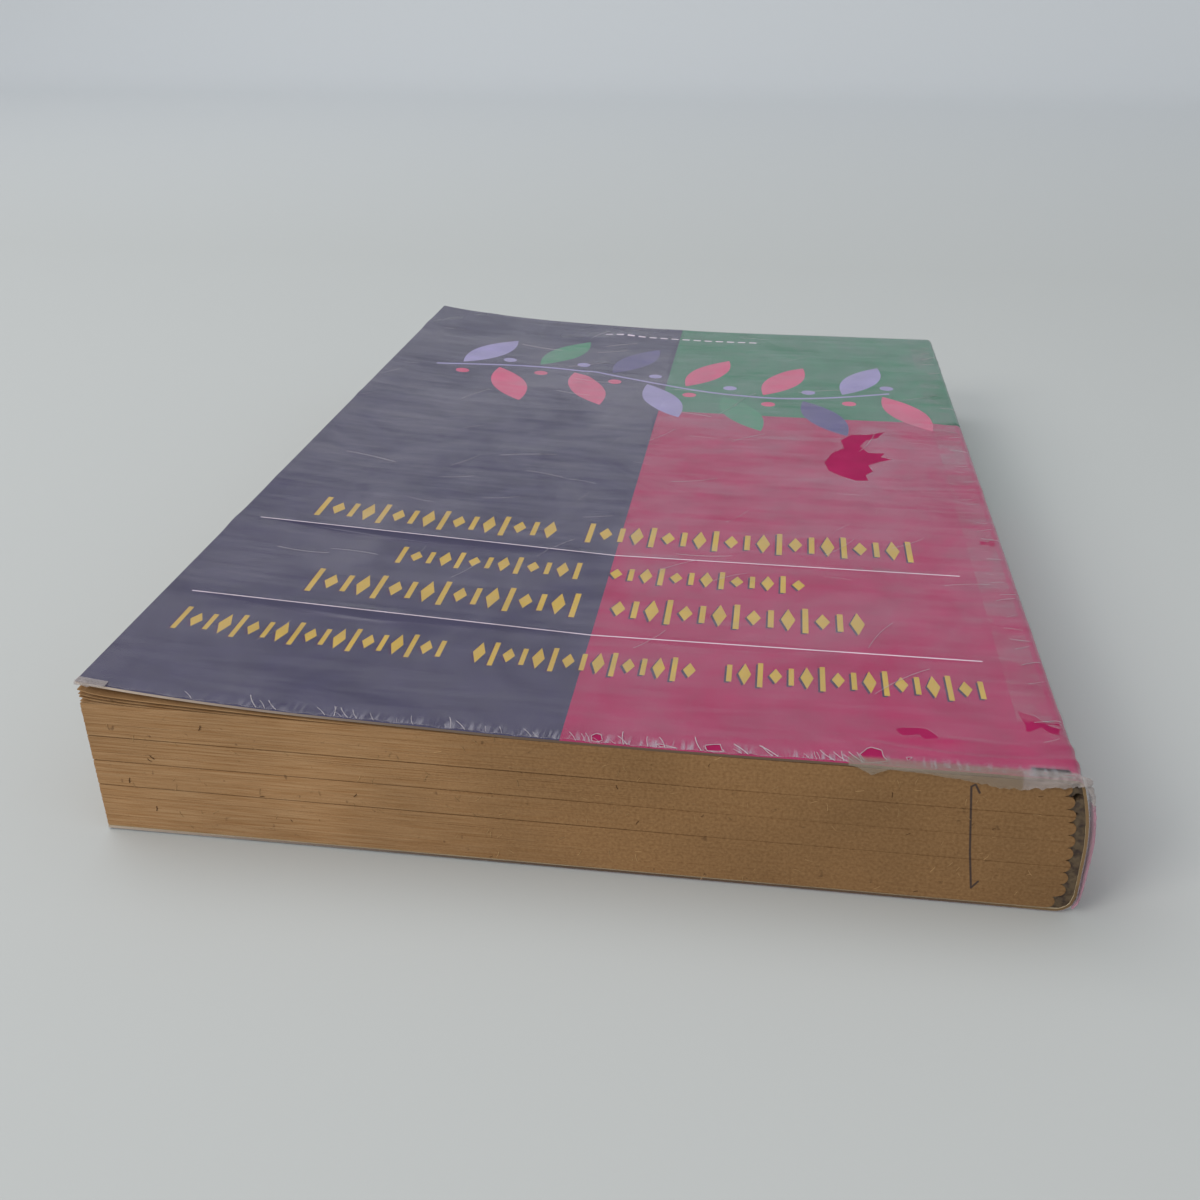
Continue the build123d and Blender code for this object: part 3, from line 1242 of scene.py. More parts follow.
@dataclass
class LiftedLeaves:
    """Groups of leaves at the top of the block that curl up towards the fore edge.

    Attributes:
        groups: For each group, its thickness, the length that has lifted, the rise at the fore edge and the
            extra curl of its last few millimetres.
    """

    groups: tuple[tuple[float, float, float, float], ...] = (
        (0.16, 60.0, 1.75, 0.75),
        (0.10, 36.0, 1.15, 0.55),
        (0.12, 22.0, 0.55, 0.60),
        (0.08, 12.0, 0.25, 0.30),
    )

    def leaf(self, index: int, block: PageBlock) -> tuple[Array, list[list[int]]]:
        """Points and faces of one group.

        Args:
            index: Number of the group.
            block: The block that it lies on.

        Returns:
            Points in millimetres, and faces that turn outwards.
        """
        thickness, length, rise, flick = self.groups[index]
        reach = np.linspace(0, 1, 30) ** 0.8
        x = -SHAPE.half_width + 0.05 + length * (1 - reach)
        y = np.linspace(-SHAPE.half_height + 0.04 * (index + 1), SHAPE.half_height - 0.05, 73)
        grid_x, grid_y = np.meshgrid(x, y, indexing="ij")
        t = np.clip(1 - (grid_x + SHAPE.half_width) / length, 0, 1)
        tip = np.exp(-(grid_x + SHAPE.half_width) / 2.2)
        spread = np.clip((20 - grid_x) / SHAPE.curl_length, 0, 1)
        wave = rolling_noise(np.column_stack([grid_y.ravel(), np.full(grid_y.size, index * 31.0)]), 45, 5)
        wave = wave.reshape(grid_x.shape)
        z = block.top + block.swell * spread + rise * t**1.6 + flick * tip + 0.3 * wave * t**2
        z = np.minimum(z, SHAPE.spine_height - 0.85 + SHAPE.rise(grid_x, grid_y))
        top = np.column_stack([grid_x.ravel(), grid_y.ravel(), z.ravel()])
        bottom = top - np.array([0, 0, thickness])
        return np.vstack([top, bottom]), slab_faces(*grid_x.shape)

    def build(self, paper: bpy.types.Material, block: PageBlock) -> bpy.types.Object:
        """Make all groups as one piece."""
        points: list[Array] = []
        faces: list[list[int]] = []
        for index in range(len(self.groups)):
            more_points, more_faces = self.leaf(index, block)
            start = sum(len(p) for p in points)
            points.append(more_points)
            faces += [[v + start for v in face] for face in more_faces]
        piece = make_piece("lifted_leaves", np.vstack(points), faces, [paper])
        recalculate_outwards(piece)
        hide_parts("page_block")
        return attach(piece, "text_block")


@dataclass
class SpineGlue:
    """Glue between the folded sections and the card, a little below the cut at the head and the tail."""

    recess: float = 0.12
    void_depth: float = 1.3

    def build(self, glue: bpy.types.Material, block: PageBlock) -> bpy.types.Object:
        """Make the glue as a closed strip with rough ends."""
        z = np.linspace(block.bottom, block.top, 180)
        left = block.ridge_x(z) - 0.05
        right = SHAPE.spine_face(z, SHAPE.film + SHAPE.card) - 0.02
        right = np.maximum(right, left + 0.05)
        share = np.linspace(0, 1, 6)
        x = left[:, None] + (right - left)[:, None] * share[None, :]
        height = np.repeat(z[:, None], len(share), axis=1)
        flat = np.column_stack([x.ravel(), height.ravel()])
        rough = rolling_noise(flat, 0.8, 4).reshape(x.shape) * 0.3
        void = smooth_step(rolling_noise(flat, 1.5, 8).reshape(x.shape), 0.3, 0.55) * self.void_depth
        depth = self.recess + np.maximum(rough * 0.6, -0.1) + void
        ends = []
        for side in (-1, 1):
            y = side * (SHAPE.half_height - depth)
            ends.append(np.column_stack([x.ravel(), y.ravel(), height.ravel()]))
        piece = make_piece("spine_glue", np.vstack(ends), slab_faces(*x.shape), [glue])
        recalculate_outwards(piece)
        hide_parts("spine_glue")
        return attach(piece, "text_block")


# ---------------------------------------------------------------- wear of the film


@dataclass
class Creases:
    """Raised creases in the film, each a slightly bowed ridge that fades at its ends.

    Attributes:
        ridges: Middle, angle in degrees, length, width and height of each ridge.
    """

    ridges: list[tuple[float, float, float, float, float, float]]

    def height(self, u: Array, y: Array) -> Array:
        """Height of the film above its bed at each place."""
        total = np.zeros_like(u)
        for centre_u, centre_y, degrees, length, width, height in self.ridges:
            angle = math.radians(degrees)
            along = (u - centre_u) * math.cos(angle) + (y - centre_y) * math.sin(angle)
            bow = along**2 / (length * 3)
            across = -(u - centre_u) * math.sin(angle) + (y - centre_y) * math.cos(angle) - bow
            fade = np.clip(1 - (2 * along / length) ** 2, 0, None)
            total += height * np.exp(-((across / width) ** 2)) * fade
        return total


def film_creases(seed: int) -> Creases:
    """Creases as handling leaves them: long soft ones on the panel, short ones across the spine band."""
    rng = np.random.default_rng(seed)
    ridges = []
    for _ in range(46):
        ridges.append(
            (
                rng.uniform(-68, 56),
                rng.uniform(-60, 104),
                rng.normal(24, 26),
                rng.uniform(14, 52),
                rng.uniform(1.6, 4.2),
                rng.uniform(0.08, 0.24),
            )
        )
    for _ in range(44):
        ridges.append(
            (
                rng.uniform(60, 69),
                rng.uniform(-104, 106),
                rng.normal(0, 16),
                rng.uniform(5, 13),
                rng.uniform(0.7, 1.3),
                rng.uniform(0.06, 0.18),
            )
        )
    for _ in range(10):
        ridges.append(
            (
                rng.uniform(15, 62),
                rng.uniform(-107, -97),
                rng.normal(-4, 6),
                rng.uniform(10, 34),
                rng.uniform(0.7, 1.4),
                rng.uniform(0.06, 0.14),
            )
        )
    # Two long pleats lie along the head, near the spine.
    ridges.append((57, -104.3, 0, 46, 0.55, 0.28))
    ridges.append((55, -101.2, 0, 34, 1.3, 0.16))
    return Creases(ridges)


FILM_CREASES = film_creases(5)
# Places where the film has come away from the print.
FILM_TEARS: list[Outline] = [
    [
        (37.2, 6), (38.0, 1), (40.2, -2.5), (43.4, -4.4), (46.0, -4.0), (45.6, -1), (47.2, 1.5),
        (46.4, 5), (48.6, 7.5), (51.8, 9.6), (49.4, 11), (50.4, 13.4), (46.8, 13.2), (45.2, 16.8),
        (46.6, 20.4), (49.2, 22.4), (51.2, 27.2), (47.4, 25.0), (43.6, 24.6), (41.0, 20.4),
        (41.6, 15.2), (39.0, 11.8),
    ],
    [
        (44.8, -98.8), (45.8, -98.2), (48.5, -97.8), (49.4, -98.0), (50.5, -99.8), (50.8, -100.9),
        (48.7, -101.2), (48.0, -100.1), (45.8, -100.7), (45.2, -99.9),
    ],
    [
        (39.8, -105.8), (40.8, -104.3), (41.5, -103.9), (42.8, -104.4), (42.9, -105.9), (43.4, -107.0),
        (40.5, -107.6),
    ],
    [(46.0, -105.7), (46.7, -105.6), (46.1, -106.6)],
    [(18.9, -106.4), (20.0, -106.0), (21.0, -105.8), (21.2, -107.1), (21.6, -107.5), (19.3, -107.6)],
    [(3.2, -106.2), (3.9, -105.6), (4.5, -105.8), (4.9, -107.3), (4.2, -107.6), (3.5, -107.5)],
    [(12.3, -106.9), (13.1, -107.0), (14.3, -107.4), (15.3, -107.6), (13.0, -107.6)],
    [(64.6, -31.2), (65.2, -31.6), (66.3, -31.7), (66.7, -31.0), (67.4, -31.4), (67.2, -33.6), (66.5, -33.9),
     (66.0, -33.3), (64.7, -33.6)],
    [
        (62.7, -91.0), (63.2, -91.7), (64.8, -92.4), (65.9, -93.9), (68.0, -94.0), (68.1, -94.7),
        (66.3, -94.8), (67.7, -95.7), (67.2, -97.4), (66.3, -97.1), (65.0, -96.1), (63.3, -97.2),
        (62.8, -97.1), (63.1, -95.8), (62.6, -92.9),
    ],
    [(63.8, -106.4), (64.2, -106.7), (64.0, -107.3), (63.6, -107.2)],
    [(65.9, -106.8), (67.8, -106.5), (67.6, -107.3), (65.9, -107.2)],
]


# ---------------------------------------------------------------- the printed cover


@dataclass
class CoverDesign:
    """The print: fields of colour, bands of ornament between thin rules, and a garland of leaves."""

    middle: float = -1.0
    green_from: float = 35.0

    def fields(self, from_u: float, to_u: float) -> list[tuple[Ink, Outline]]:
        """Fields of colour between two places along the pattern."""
        low, high = -SHAPE.half_height - 1, SHAPE.half_height + 1
        start = max(self.middle, from_u)
        end = min(SHAPE.under(self.middle), to_u)
        magenta = [(start, low), (end, low), (end, high), (start, high)]
        green = [(start, self.green_from), (end, self.green_from), (end, high), (start, high)]
        return [(Ink.MAGENTA, magenta), (Ink.GREEN, green)]

    def band(self, start: float, end: float, low: float, high: float, groups: Sequence[int]) -> list[Outline]:
        """A band of slim bars and lozenges in turn, in groups with a space between.

        Args:
            start: Where the band starts, along u.
            end: Where it ends.
            low: Its lower edge in Y.
            high: Its upper edge in Y.
            groups: How many figures stand in each group.

        Returns:
            The outline of each figure.
        """
        figures = sum(groups)
        width = (end - start) / (figures + 1.6 * (len(groups) - 1))
        middle, half = (low + high) / 2, (high - low) / 2
        # Each figure in the round of four: its half width and half height, and whether it is a bar.
        kinds = [(0.17, 1.0, True), (0.42, 0.62, False), (0.17, 0.7, True), (0.42, 0.9, False)]
        shapes: list[Outline] = []
        u = start
        number = 0
        for group in groups:
            for _ in range(group):
                centre = u + width / 2
                side_share, tall_share, is_bar = kinds[number % len(kinds)]
                side, tall = side_share * width, tall_share * half
                if is_bar:
                    corners = [(-side, -tall), (side, -tall), (side, tall), (-side, tall)]
                else:
                    corners = [(-side, 0), (0, -tall), (side, 0), (0, tall)]
                shapes.append([(centre + a, middle + b) for a, b in corners])
                u += width
                number += 1
            u += width * 1.6
        return shapes

    def petal(self, u: float, y: float, length: float, width: float, degrees: float) -> Outline:
        """A pointed leaf about a middle point, turned by an angle."""
        t = np.linspace(-1, 1, 17)
        upper = [(length / 2 * s, width / 2 * (1 - s * s)) for s in t]
        lower = [(length / 2 * s, -width / 2 * (1 - s * s)) for s in t[-2:0:-1]]
        angle = math.radians(degrees)
        return [
            (u + a * math.cos(angle) - b * math.sin(angle), y + a * math.sin(angle) + b * math.cos(angle))
            for a, b in upper + lower
        ]

    def disc(self, u: float, y: float, radius: float) -> Outline:
        """A round dot."""
        angle = np.linspace(0, 2 * math.pi, 25)[:-1]
        return [(u + radius * math.cos(a), y + radius * math.sin(a)) for a in angle]

    def garland(self) -> list[tuple[Ink, Outline]]:
        """A waving stem across the front, with leaves above and below it in turn and a berry between them."""
        inks = [Ink.LILAC, Ink.PINK, Ink.LEAF, Ink.PINK, Ink.PLUM]
        wave = [(u, 56 + 7 * math.sin((u + 60) / 18)) for u in np.linspace(-60, 54, 60)]
        stem = [(u, y - 0.5) for u, y in wave] + [(u, y + 0.5) for u, y in reversed(wave)]
        shapes = [(Ink.LILAC, stem)]
        for number, (u, y) in enumerate(wave[3::5]):
            above = number % 2 == 0
            side = 1 if above else -1
            ink = inks[number % len(inks)]
            shapes.append((ink, self.petal(u + 5, y + side * 14, 26, 8.4, side * 68)))
            shapes.append((Ink.PINK if above else Ink.LILAC, self.disc(u + 1.5, y - side * 5, 1.7)))
        return shapes

    def front_shapes(self) -> list[tuple[Ink, Outline]]:
        """Every shape printed on the front, from the lowest layer up."""
        shapes = self.garland()
        bands = [
            (-66, 59.5, -89.6, -82.4, (19, 15, 17)),
            (-51, 42.5, -71.8, -63.2, (17, 15)),
            (-39.5, 33, -57.8, -51.2, (13, 13)),
            (-59.5, 53, -42.4, -33.6, (16, 21)),
        ]
        for start, end, low, high, groups in bands:
            figures = self.band(start, end, low, high, groups)
            # Each figure has a dark shadow, offset to one side.
            shapes += [(Ink.SHADOW, [(u - 0.32, y - 0.42) for u, y in figure]) for figure in figures]
            shapes += [(Ink.YELLOW, figure) for figure in figures]
        for y in (-77.3, -47.0):
            shapes.append((Ink.PALE, [(-67, y - 0.14), (59.5, y - 0.14), (59.5, y + 0.14), (-67, y + 0.14)]))
        for number in range(14):
            u = -22 + number * 3.1
            shapes.append((Ink.PALE, [(u, 97.4), (u + 2.0, 97.4), (u + 2.0, 98.4), (u, 98.4)]))
        return shapes


@dataclass
class CardCover:
    """The printed card, as one sheet over the front and the spine and one over the back."""

    seam_z: float = 5.0
    spacing: float = 1.8

    def build(self) -> list[bpy.types.Object]:
        """Make both sheets."""
        inks = list(Ink)
        finishes = [PrintedCard(ink).material() for ink in inks] + [BareCard().material()]
        finishes.append(PrintedCard(Ink.MAGENTA, wetted=False).material())
        finishes.append(GradedCutEdge("soiled_front_edge").material())
        # The back edge is the same edge darkened to 0.8 as painted shade.
        finishes.append(GradedCutEdge("soiled_back_edge", 0.8).material())
        board, bare_magenta, front_edge, back_edge = range(len(inks), len(inks) + 4)
        design = CoverDesign()
        seam = SHAPE.wall_u(self.seam_z)
        half = SHAPE.half_height
        outer, inner = SHAPE.film, SHAPE.film + SHAPE.card
        front_u = -SHAPE.half_width
        back_u = SHAPE.under(-SHAPE.half_width + 0.4)
        front = Sheet(
            "card_front",
            [(front_u, -half), (seam, -half), (seam, half), (front_u, half)],
            outer,
            inner,
            self.spacing,
            shapes=[
                (inks.index(ink), outline)
                for ink, outline in design.fields(front_u - 1, seam + 1) + design.front_shapes()
            ]
            + [(bare_magenta, outline) for outline in FILM_TEARS],
            lift=FILM_CREASES.height,
            fine_head=9.0,
        ).build(finishes, board, front_edge)
        back = Sheet(
            "card_back",
            [(seam, -half), (back_u, -half), (back_u, half), (seam, half)],
            outer,
            inner,
            self.spacing,
            shapes=[
                (inks.index(ink), outline) for ink, outline in design.fields(seam - 1, back_u + 1)
            ],
        ).build(finishes, board, back_edge)
        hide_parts("front_cover", "spine_cover")
        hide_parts("back_cover", "spine_cover")
        bend_at_front(front)
        bend_at_back(back)
        return [front, back]


def bend_at_front(piece: bpy.types.Object) -> None:
    """Bake a sheet's placement into its mesh."""
    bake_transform(piece)


def bend_at_back(piece: bpy.types.Object) -> None:
    """Bake a sheet's placement into its mesh."""
    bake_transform(piece)


# ---------------------------------------------------------------- film and tape


@dataclass
class FilmWrap:
    """Clear film over the card, and the tape under the film."""

    seam_z: float = 5.0
    thickness: float = 0.10
    tape_step: float = 0.06
    spacing: float = 1.4

    def ragged_head(self, start: float, end: float, seed: int) -> Outline:
        """The film's worn edge along the head, from start to end along u."""
        rng = np.random.default_rng(seed)
        points = []
        u = start
        while u < end:
            points.append((u, -SHAPE.half_height + 0.25 + rng.uniform(-0.15, 0.35)))
            u += rng.uniform(0.5, 1.8)
        points.append((end, -SHAPE.half_height + 0.1))
        return points

    def build(self) -> list[bpy.types.Object]:
        """Make the film and the tape, each in a front and a back sheet."""
        film = HazedFilm("hazed_soft_film", crazing=0.26)
        edge = HazedFilm("whitened_film_edge", 0.2, 0.4, 1.0, "#CFC8CE", 0.5)
        tape = HazedFilm("aged_clear_tape", 0.01, 0.08, 1.0, "#CFC6C8", 0.35)
        finishes = [film.material(), edge.material()]
        tape_finishes = [tape.material(), finishes[1]]
        half = SHAPE.half_height
        seam = SHAPE.wall_u(self.seam_z)
        front_u = -SHAPE.half_width + 0.05
        back_u = SHAPE.under(-SHAPE.half_width + 0.45)
        bed = SHAPE.film - 0.03
        head = self.ragged_head(front_u, seam, 11)
        tape_start = FRONT_CREASE["pos_m"][0] / MM
        tape_end = SHAPE.under(50.0)
        front = Sheet(
            "film_front",
            head + [(seam, half), (front_u, half)],
            bed - self.thickness,
            bed,
            self.spacing,
            holes=FILM_TEARS,
            lift=lambda u, y: FILM_CREASES.height(u, y) + self.tape_step * smooth_step(u, 61, 62),
            fine_head=9.0,
        ).build(finishes, 0, 1)
        back = Sheet(
            "film_back",
            [(seam, -half + 0.1), (back_u, -half + 0.1), (back_u, half), (seam, half)],
            bed - self.thickness,
            bed,
            2.5,
            lift=lambda u, y: self.tape_step
            * (1 - smooth_step(u, SHAPE.under(50.4), SHAPE.under(49.6))),
        ).build(finishes, 0, 1)
        tape_front, tape_back = (
            Sheet(
                name,
                [(start, -half), (end, -half), (end, half), (start, half)],
                bed - 0.03,
                bed + 0.02,
                2.5,
            ).build(tape_finishes, 0, 1)
            for name, start, end in (("tape_front", tape_start, seam), ("tape_back", seam, tape_end))
        )
        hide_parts("front_film", "spine_film")
        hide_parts("back_film", "spine_film")
        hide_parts("spine_tape")
        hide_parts("back_tape", "spine_tape")
        for piece in (front, tape_front):
            bend_at_front(piece)
        for piece in (back, tape_back):
            bend_at_back(piece)
        return [front, back, tape_front, tape_back]


# At places along u: how far the hem hangs down, how far it stands off, and its crumpling.
SPINE_HEM = (
    (38.2, 0.0, 0.0, 0.05),
    (39.4, 0.3, 0.0, 0.1),
    (41.4, 1.5, 0.1, 0.12),
    (43.4, 0.3, 0.0, 0.05),
    (48.0, 0.45, 0.0, 0.05),
    (53.6, 1.1, 0.05, 0.05),
    (56.3, 1.6, 0.05, 0.05),
    (60.0, 2.0, 0.05, 0.1),
    (63.5, 1.6, 0.1, 0.25),
    (67.0, 1.2, 0.3, 0.4),
    (69.0, 0.9, 0.8, 0.5),
    (71.5, 0.4, 0.8, 0.3),
    (73.5, 0.2, 0.7, 0.12),
    (81.0, 0.12, 0.55, 0.05),
    (86.5, 0.1, 0.35, 0.04),
    (90.0, 0.1, 0.08, 0.03),
)
CORNER_HEM = ((-70.9, 0.5, 0.1, 0.2), (-69.0, 0.35, 0.15, 0.25), (-66.5, 0.0, 0.0, 0.05))


@dataclass
class LooseHem:
    """A stretch of the film's edge at the head that has come loose.

    It hangs over the edge of the cover, or stands off the spine, and is crumpled in places.

    Attributes:
        name: The piece's name.
        marks: At places along u: how far the edge hangs down, how far it stands off, and its crumpling.
        finish_from: The u from which each finish holds.
    """

    name: str
    marks: tuple[tuple[float, float, float, float], ...]
    finish_from: tuple[float, ...] = (-100.0,)
    width: float = 2.2
    thickness: float = 0.07
    seed: int = 2

    def build(self, finishes: Sequence[bpy.types.Material]) -> bpy.types.Object:
        """Make the hem as a closed crumpled strip."""
        at_u, hangs, stands, crumples = np.array(self.marks).T
        u = np.arange(at_u[0], at_u[-1], 0.22)
        t = np.linspace(0, 1, 15)
        grid_u, grid_t = np.meshgrid(u, t, indexing="ij")
        hang = np.interp(grid_u, at_u, hangs)
        stand = np.interp(grid_u, at_u, stands)
        crumple = np.interp(grid_u, at_u, crumples) * smooth_step(grid_t, 0, 0.5)
        over = np.clip(grid_t / 0.45, 0, 1)
        down = np.clip((grid_t - 0.45) / 0.55, 0, 1)
        flat = np.column_stack([grid_u.ravel(), 4 * grid_t.ravel()])
        coarse = rolling_noise(flat, 1.7, self.seed).reshape(grid_u.shape)
        fine = rolling_noise(flat, 0.7, self.seed + 5).reshape(grid_u.shape)
        ragged = rolling_noise(np.column_stack([grid_u.ravel(), np.zeros(grid_u.size)]), 0.9, self.seed + 9)
        hang = hang * (1 + 0.25 * ragged.reshape(grid_u.shape))
        y = -SHAPE.half_height + self.width - 0.1 - self.width * over - 0.35 * np.sin(down * math.pi * 0.6)
        y = y - crumple * (0.9 * np.abs(coarse) + 0.5 * fine)
        lift = stand * over**1.5 - hang * down + crumple * (1.1 * fine + 0.8 * coarse)
        lift = np.where(down > 0, lift, np.maximum(lift, 0.02))
        points = SHAPE.place(grid_u.ravel(), y.ravel(), 0.10 - lift.ravel())
        grid = points.reshape(*grid_u.shape, 3)
        normal = np.cross(np.gradient(grid, axis=0), np.gradient(grid, axis=1))
        normal /= np.linalg.norm(normal, axis=2, keepdims=True)
        under = (grid - normal * self.thickness).reshape(-1, 3)
        faces = slab_faces(*grid_u.shape)
        middle = np.tile(grid_u.ravel(), 2)
        slots = [int(np.searchsorted(self.finish_from, middle[face[0]], side="right")) - 1 for face in faces]
        piece = make_piece(self.name, np.vstack([points, under]), faces, finishes, slots, 60)
        recalculate_outwards(piece)
        bend_at_front(piece)
        return piece


@dataclass(frozen=True)
class StrandSort:
    """One sort of strand, in millimetres and degrees.

    Attributes:
        name: The piece's name.
        body: The body that it rides on.
        lines: Start and end of each line along which the strands stand.
        spacing: Distance between their feet.
        scatter: How far a foot may lie from its place.
        fewest: Share of the feet that bear a strand where there are fewest.
        most: The same where there are most.
        thins_out: X of both of those places.
        length: Length of a middling strand.
        thickness: Its thickness at the foot.
        lean: Its turn from Y.
        lean_spread: How far that turn varies either way.
        seed: Seed of the scatter.
    """

    name: str
    body: str
    lines: tuple[tuple[tuple[float, float], tuple[float, float]], ...]
    spacing: float
    scatter: tuple[float, float]
    fewest: float
    most: float
    thins_out: tuple[float, float]
    length: float
    thickness: float
    lean: float
    lean_spread: float
    seed: int


HEAD_FRAYS = StrandSort(
    name="frayed_head_edge",
    body="front_panel",
    lines=(((-58, 0.25 - SHAPE.half_height), (41, 0.25 - SHAPE.half_height)),),
    spacing=0.55,
    scatter=(0.25, 0.0),
    fewest=0.13,
    most=0.44,
    thins_out=(-58, 41),
    length=2.5,
    thickness=0.055,
    lean=27,
    lean_spread=20,
    seed=4,
)
PANEL_CREASES = StrandSort(
    name="hair_creases",
    body="front_panel",
    lines=tuple(((-64, -88 + 11 * row), (50, -88 + 11 * row)) for row in range(18)),
    spacing=16,
    scatter=(8, 5),
    fewest=0.45,
    most=0.45,
    thins_out=(-70, 70),
    length=9,
    thickness=0.035,
    lean=-62,
    lean_spread=48,
    seed=21,
)
BAND_CREASES = StrandSort(
    name="spine_band_creases",
    body="text_block",
    lines=(((64.6, -100), (64.6, 104)),),
    spacing=4.2,
    scatter=(0.8, 2),
    fewest=0.8,
    most=0.8,
    thins_out=(-70, 70),
    length=3.0,
    thickness=0.035,
    lean=-82,
    lean_spread=24,
    seed=33,
)


@dataclass
class FilmStrands:
    """Thin strands of film, frayed from its edge or pulled up in it as hair-thin creases."""

    film_height: float = 0.13
    sorts: tuple[StrandSort, ...] = (HEAD_FRAYS, PANEL_CREASES, BAND_CREASES)

    def tree(self) -> GrowthTree:
        """Build the tree: bent strands stand along the base's edges, and are laid on the cover."""
        growth = GrowthTree(
            "strands_on_cover",
            {
                "Bed": "NodeSocketObject",
                "Spacing": "NodeSocketFloat",
                "Scatter": "NodeSocketVector",
                "Fewest": "NodeSocketFloat",
                "Most": "NodeSocketFloat",
                "Fewest At": "NodeSocketFloat",
                "Most At": "NodeSocketFloat",
                "Length": "NodeSocketFloat",
                "Thickness": "NodeSocketFloat",
                "Lean": "NodeSocketFloat",
                "Lean Spread": "NodeSocketFloat",
                "Stand Off": "NodeSocketFloat",
                "Seed": "NodeSocketInt",
                "Finish": "NodeSocketMaterial",
            },
        )
        entry, node = growth.entry, growth.node
        curve = node("GeometryNodeMeshToCurve", {0: entry["Base"]})
        spaced = node(
            "GeometryNodeCurveToPoints", {"Curve": curve, "Length": entry["Spacing"]}, mode="LENGTH"
        )
        least = node("ShaderNodeVectorMath", {0: entry["Scatter"], "Scale": -1.0}, operation="SCALE")
        jitter = node(
            "FunctionNodeRandomValue",
            {0: least, 1: entry["Scatter"], "Seed": entry["Seed"]},
            data_type="FLOAT_VECTOR",
        )
        scattered = node("GeometryNodeSetPosition", {"Geometry": spaced, "Offset": jitter})
        axes = node("ShaderNodeSeparateXYZ", {0: node("GeometryNodeInputPosition").outputs[0]}).outputs
        chance = node(
            "ShaderNodeMapRange",
            {
                "Value": axes[0],
                "From Min": entry["Fewest At"],
                "From Max": entry["Most At"],
                "To Min": entry["Fewest"],
                "To Max": entry["Most"],
            },
        )
        draw = node("FunctionNodeRandomValue", {2: 0.0, 3: 1.0, "Seed": 11}, data_type="FLOAT")
        missing = node("FunctionNodeCompare", {0: draw, 1: chance}, operation="GREATER_THAN")
        kept = node(
            "GeometryNodeDeleteGeometry", {"Geometry": scattered, "Selection": missing}, domain="POINT"
        )
        shapes = node("GeometryNodeGeometryToInstance")
        for bend, hook in ((-0.07, 0.03), (0.05, -0.06), (0.12, 0.05), (-0.03, 0.09)):
            line = node(
                "GeometryNodeCurveQuadraticBezier",
                {"Resolution": 9, "Start": (0, 0, 0), "Middle": (bend, 0.55, 0), "End": (hook, 1, 0)},
            )
            sized = node(
                "GeometryNodeTransform",
                {"Geometry": line, "Scale": self.uniform(growth, entry["Length"])},
            )
            factor = node("GeometryNodeSplineParameter").outputs["Factor"]
            taper = node("ShaderNodeMapRange", {"Value": factor, "To Min": 1.0, "To Max": 0.25})
            tapered = node("GeometryNodeSetCurveRadius", {"Curve": sized, "Radius": taper})
            profile = node(
                "GeometryNodeCurvePrimitiveCircle", {"Resolution": 4, "Radius": entry["Thickness"]}
            )
            tube = node(
                "GeometryNodeCurveToMesh", {"Curve": tapered, "Profile Curve": profile, "Fill Caps": True}
            )
            growth.tree.links.new(tube.outputs[0], shapes.inputs[0])
        low = node("ShaderNodeMath", {0: entry["Lean"], 1: entry["Lean Spread"]}, operation="SUBTRACT")
        high = node("ShaderNodeMath", {0: entry["Lean"], 1: entry["Lean Spread"]}, operation="ADD")
        turn = node("FunctionNodeRandomValue", {2: low, 3: high, "Seed": 3}, data_type="FLOAT")
        size = node("FunctionNodeRandomValue", {2: 0.35, 3: 1.35, "Seed": 5}, data_type="FLOAT")
        pick = node("FunctionNodeRandomValue", {4: 0, 5: 3, "Seed": 7}, data_type="INT")
        placed = node(
            "GeometryNodeInstanceOnPoints",
            {
                "Points": kept,
                "Instance": shapes,
                "Pick Instance": True,
                "Instance Index": pick,
                "Rotation": node("ShaderNodeCombineXYZ", {2: turn}).outputs[0],
                "Scale": self.uniform(growth, size.outputs[1]),
            },
        )
        grown = node("GeometryNodeRealizeInstances", {0: placed})
        growth.finish(growth.laid_on(grown.outputs[0]))
        return growth

    @staticmethod
    def uniform(growth: GrowthTree, number: bpy.types.NodeSocket) -> bpy.types.NodeSocket:
        """The same number three times, as a vector."""
        return growth.node("ShaderNodeCombineXYZ", {0: number, 1: number, 2: number}).outputs[0]

    def build(self, bed: bpy.types.Object, white: bpy.types.Material) -> list[bpy.types.Object]:
        """Grow the frays along the head, and thin creases over the panel and across the spine band."""
        growth = self.tree()
        pieces = []
        for sort in self.sorts:
            points = [(u, y, 0.0) for start, end in sort.lines for u, y in (start, end)]
            edges = [(2 * i, 2 * i + 1) for i in range(len(sort.lines))]
            values = {
                "Bed": bed,
                "Spacing": sort.spacing * MM,
                "Scatter": (sort.scatter[0] * MM, sort.scatter[1] * MM, 0.0),
                "Fewest": sort.fewest,
                "Most": sort.most,
                "Fewest At": sort.thins_out[0] * MM,
                "Most At": sort.thins_out[1] * MM,
                "Length": sort.length * MM,
                "Thickness": sort.thickness * MM,
                "Lean": math.radians(sort.lean),
                "Lean Spread": math.radians(sort.lean_spread),
                "Stand Off": self.film_height * MM,
                "Seed": sort.seed,
                "Finish": white,
            }
            piece = growth.grow(sort.name, points, edges, [], values)
            pieces.append(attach(piece, sort.body))
        return pieces


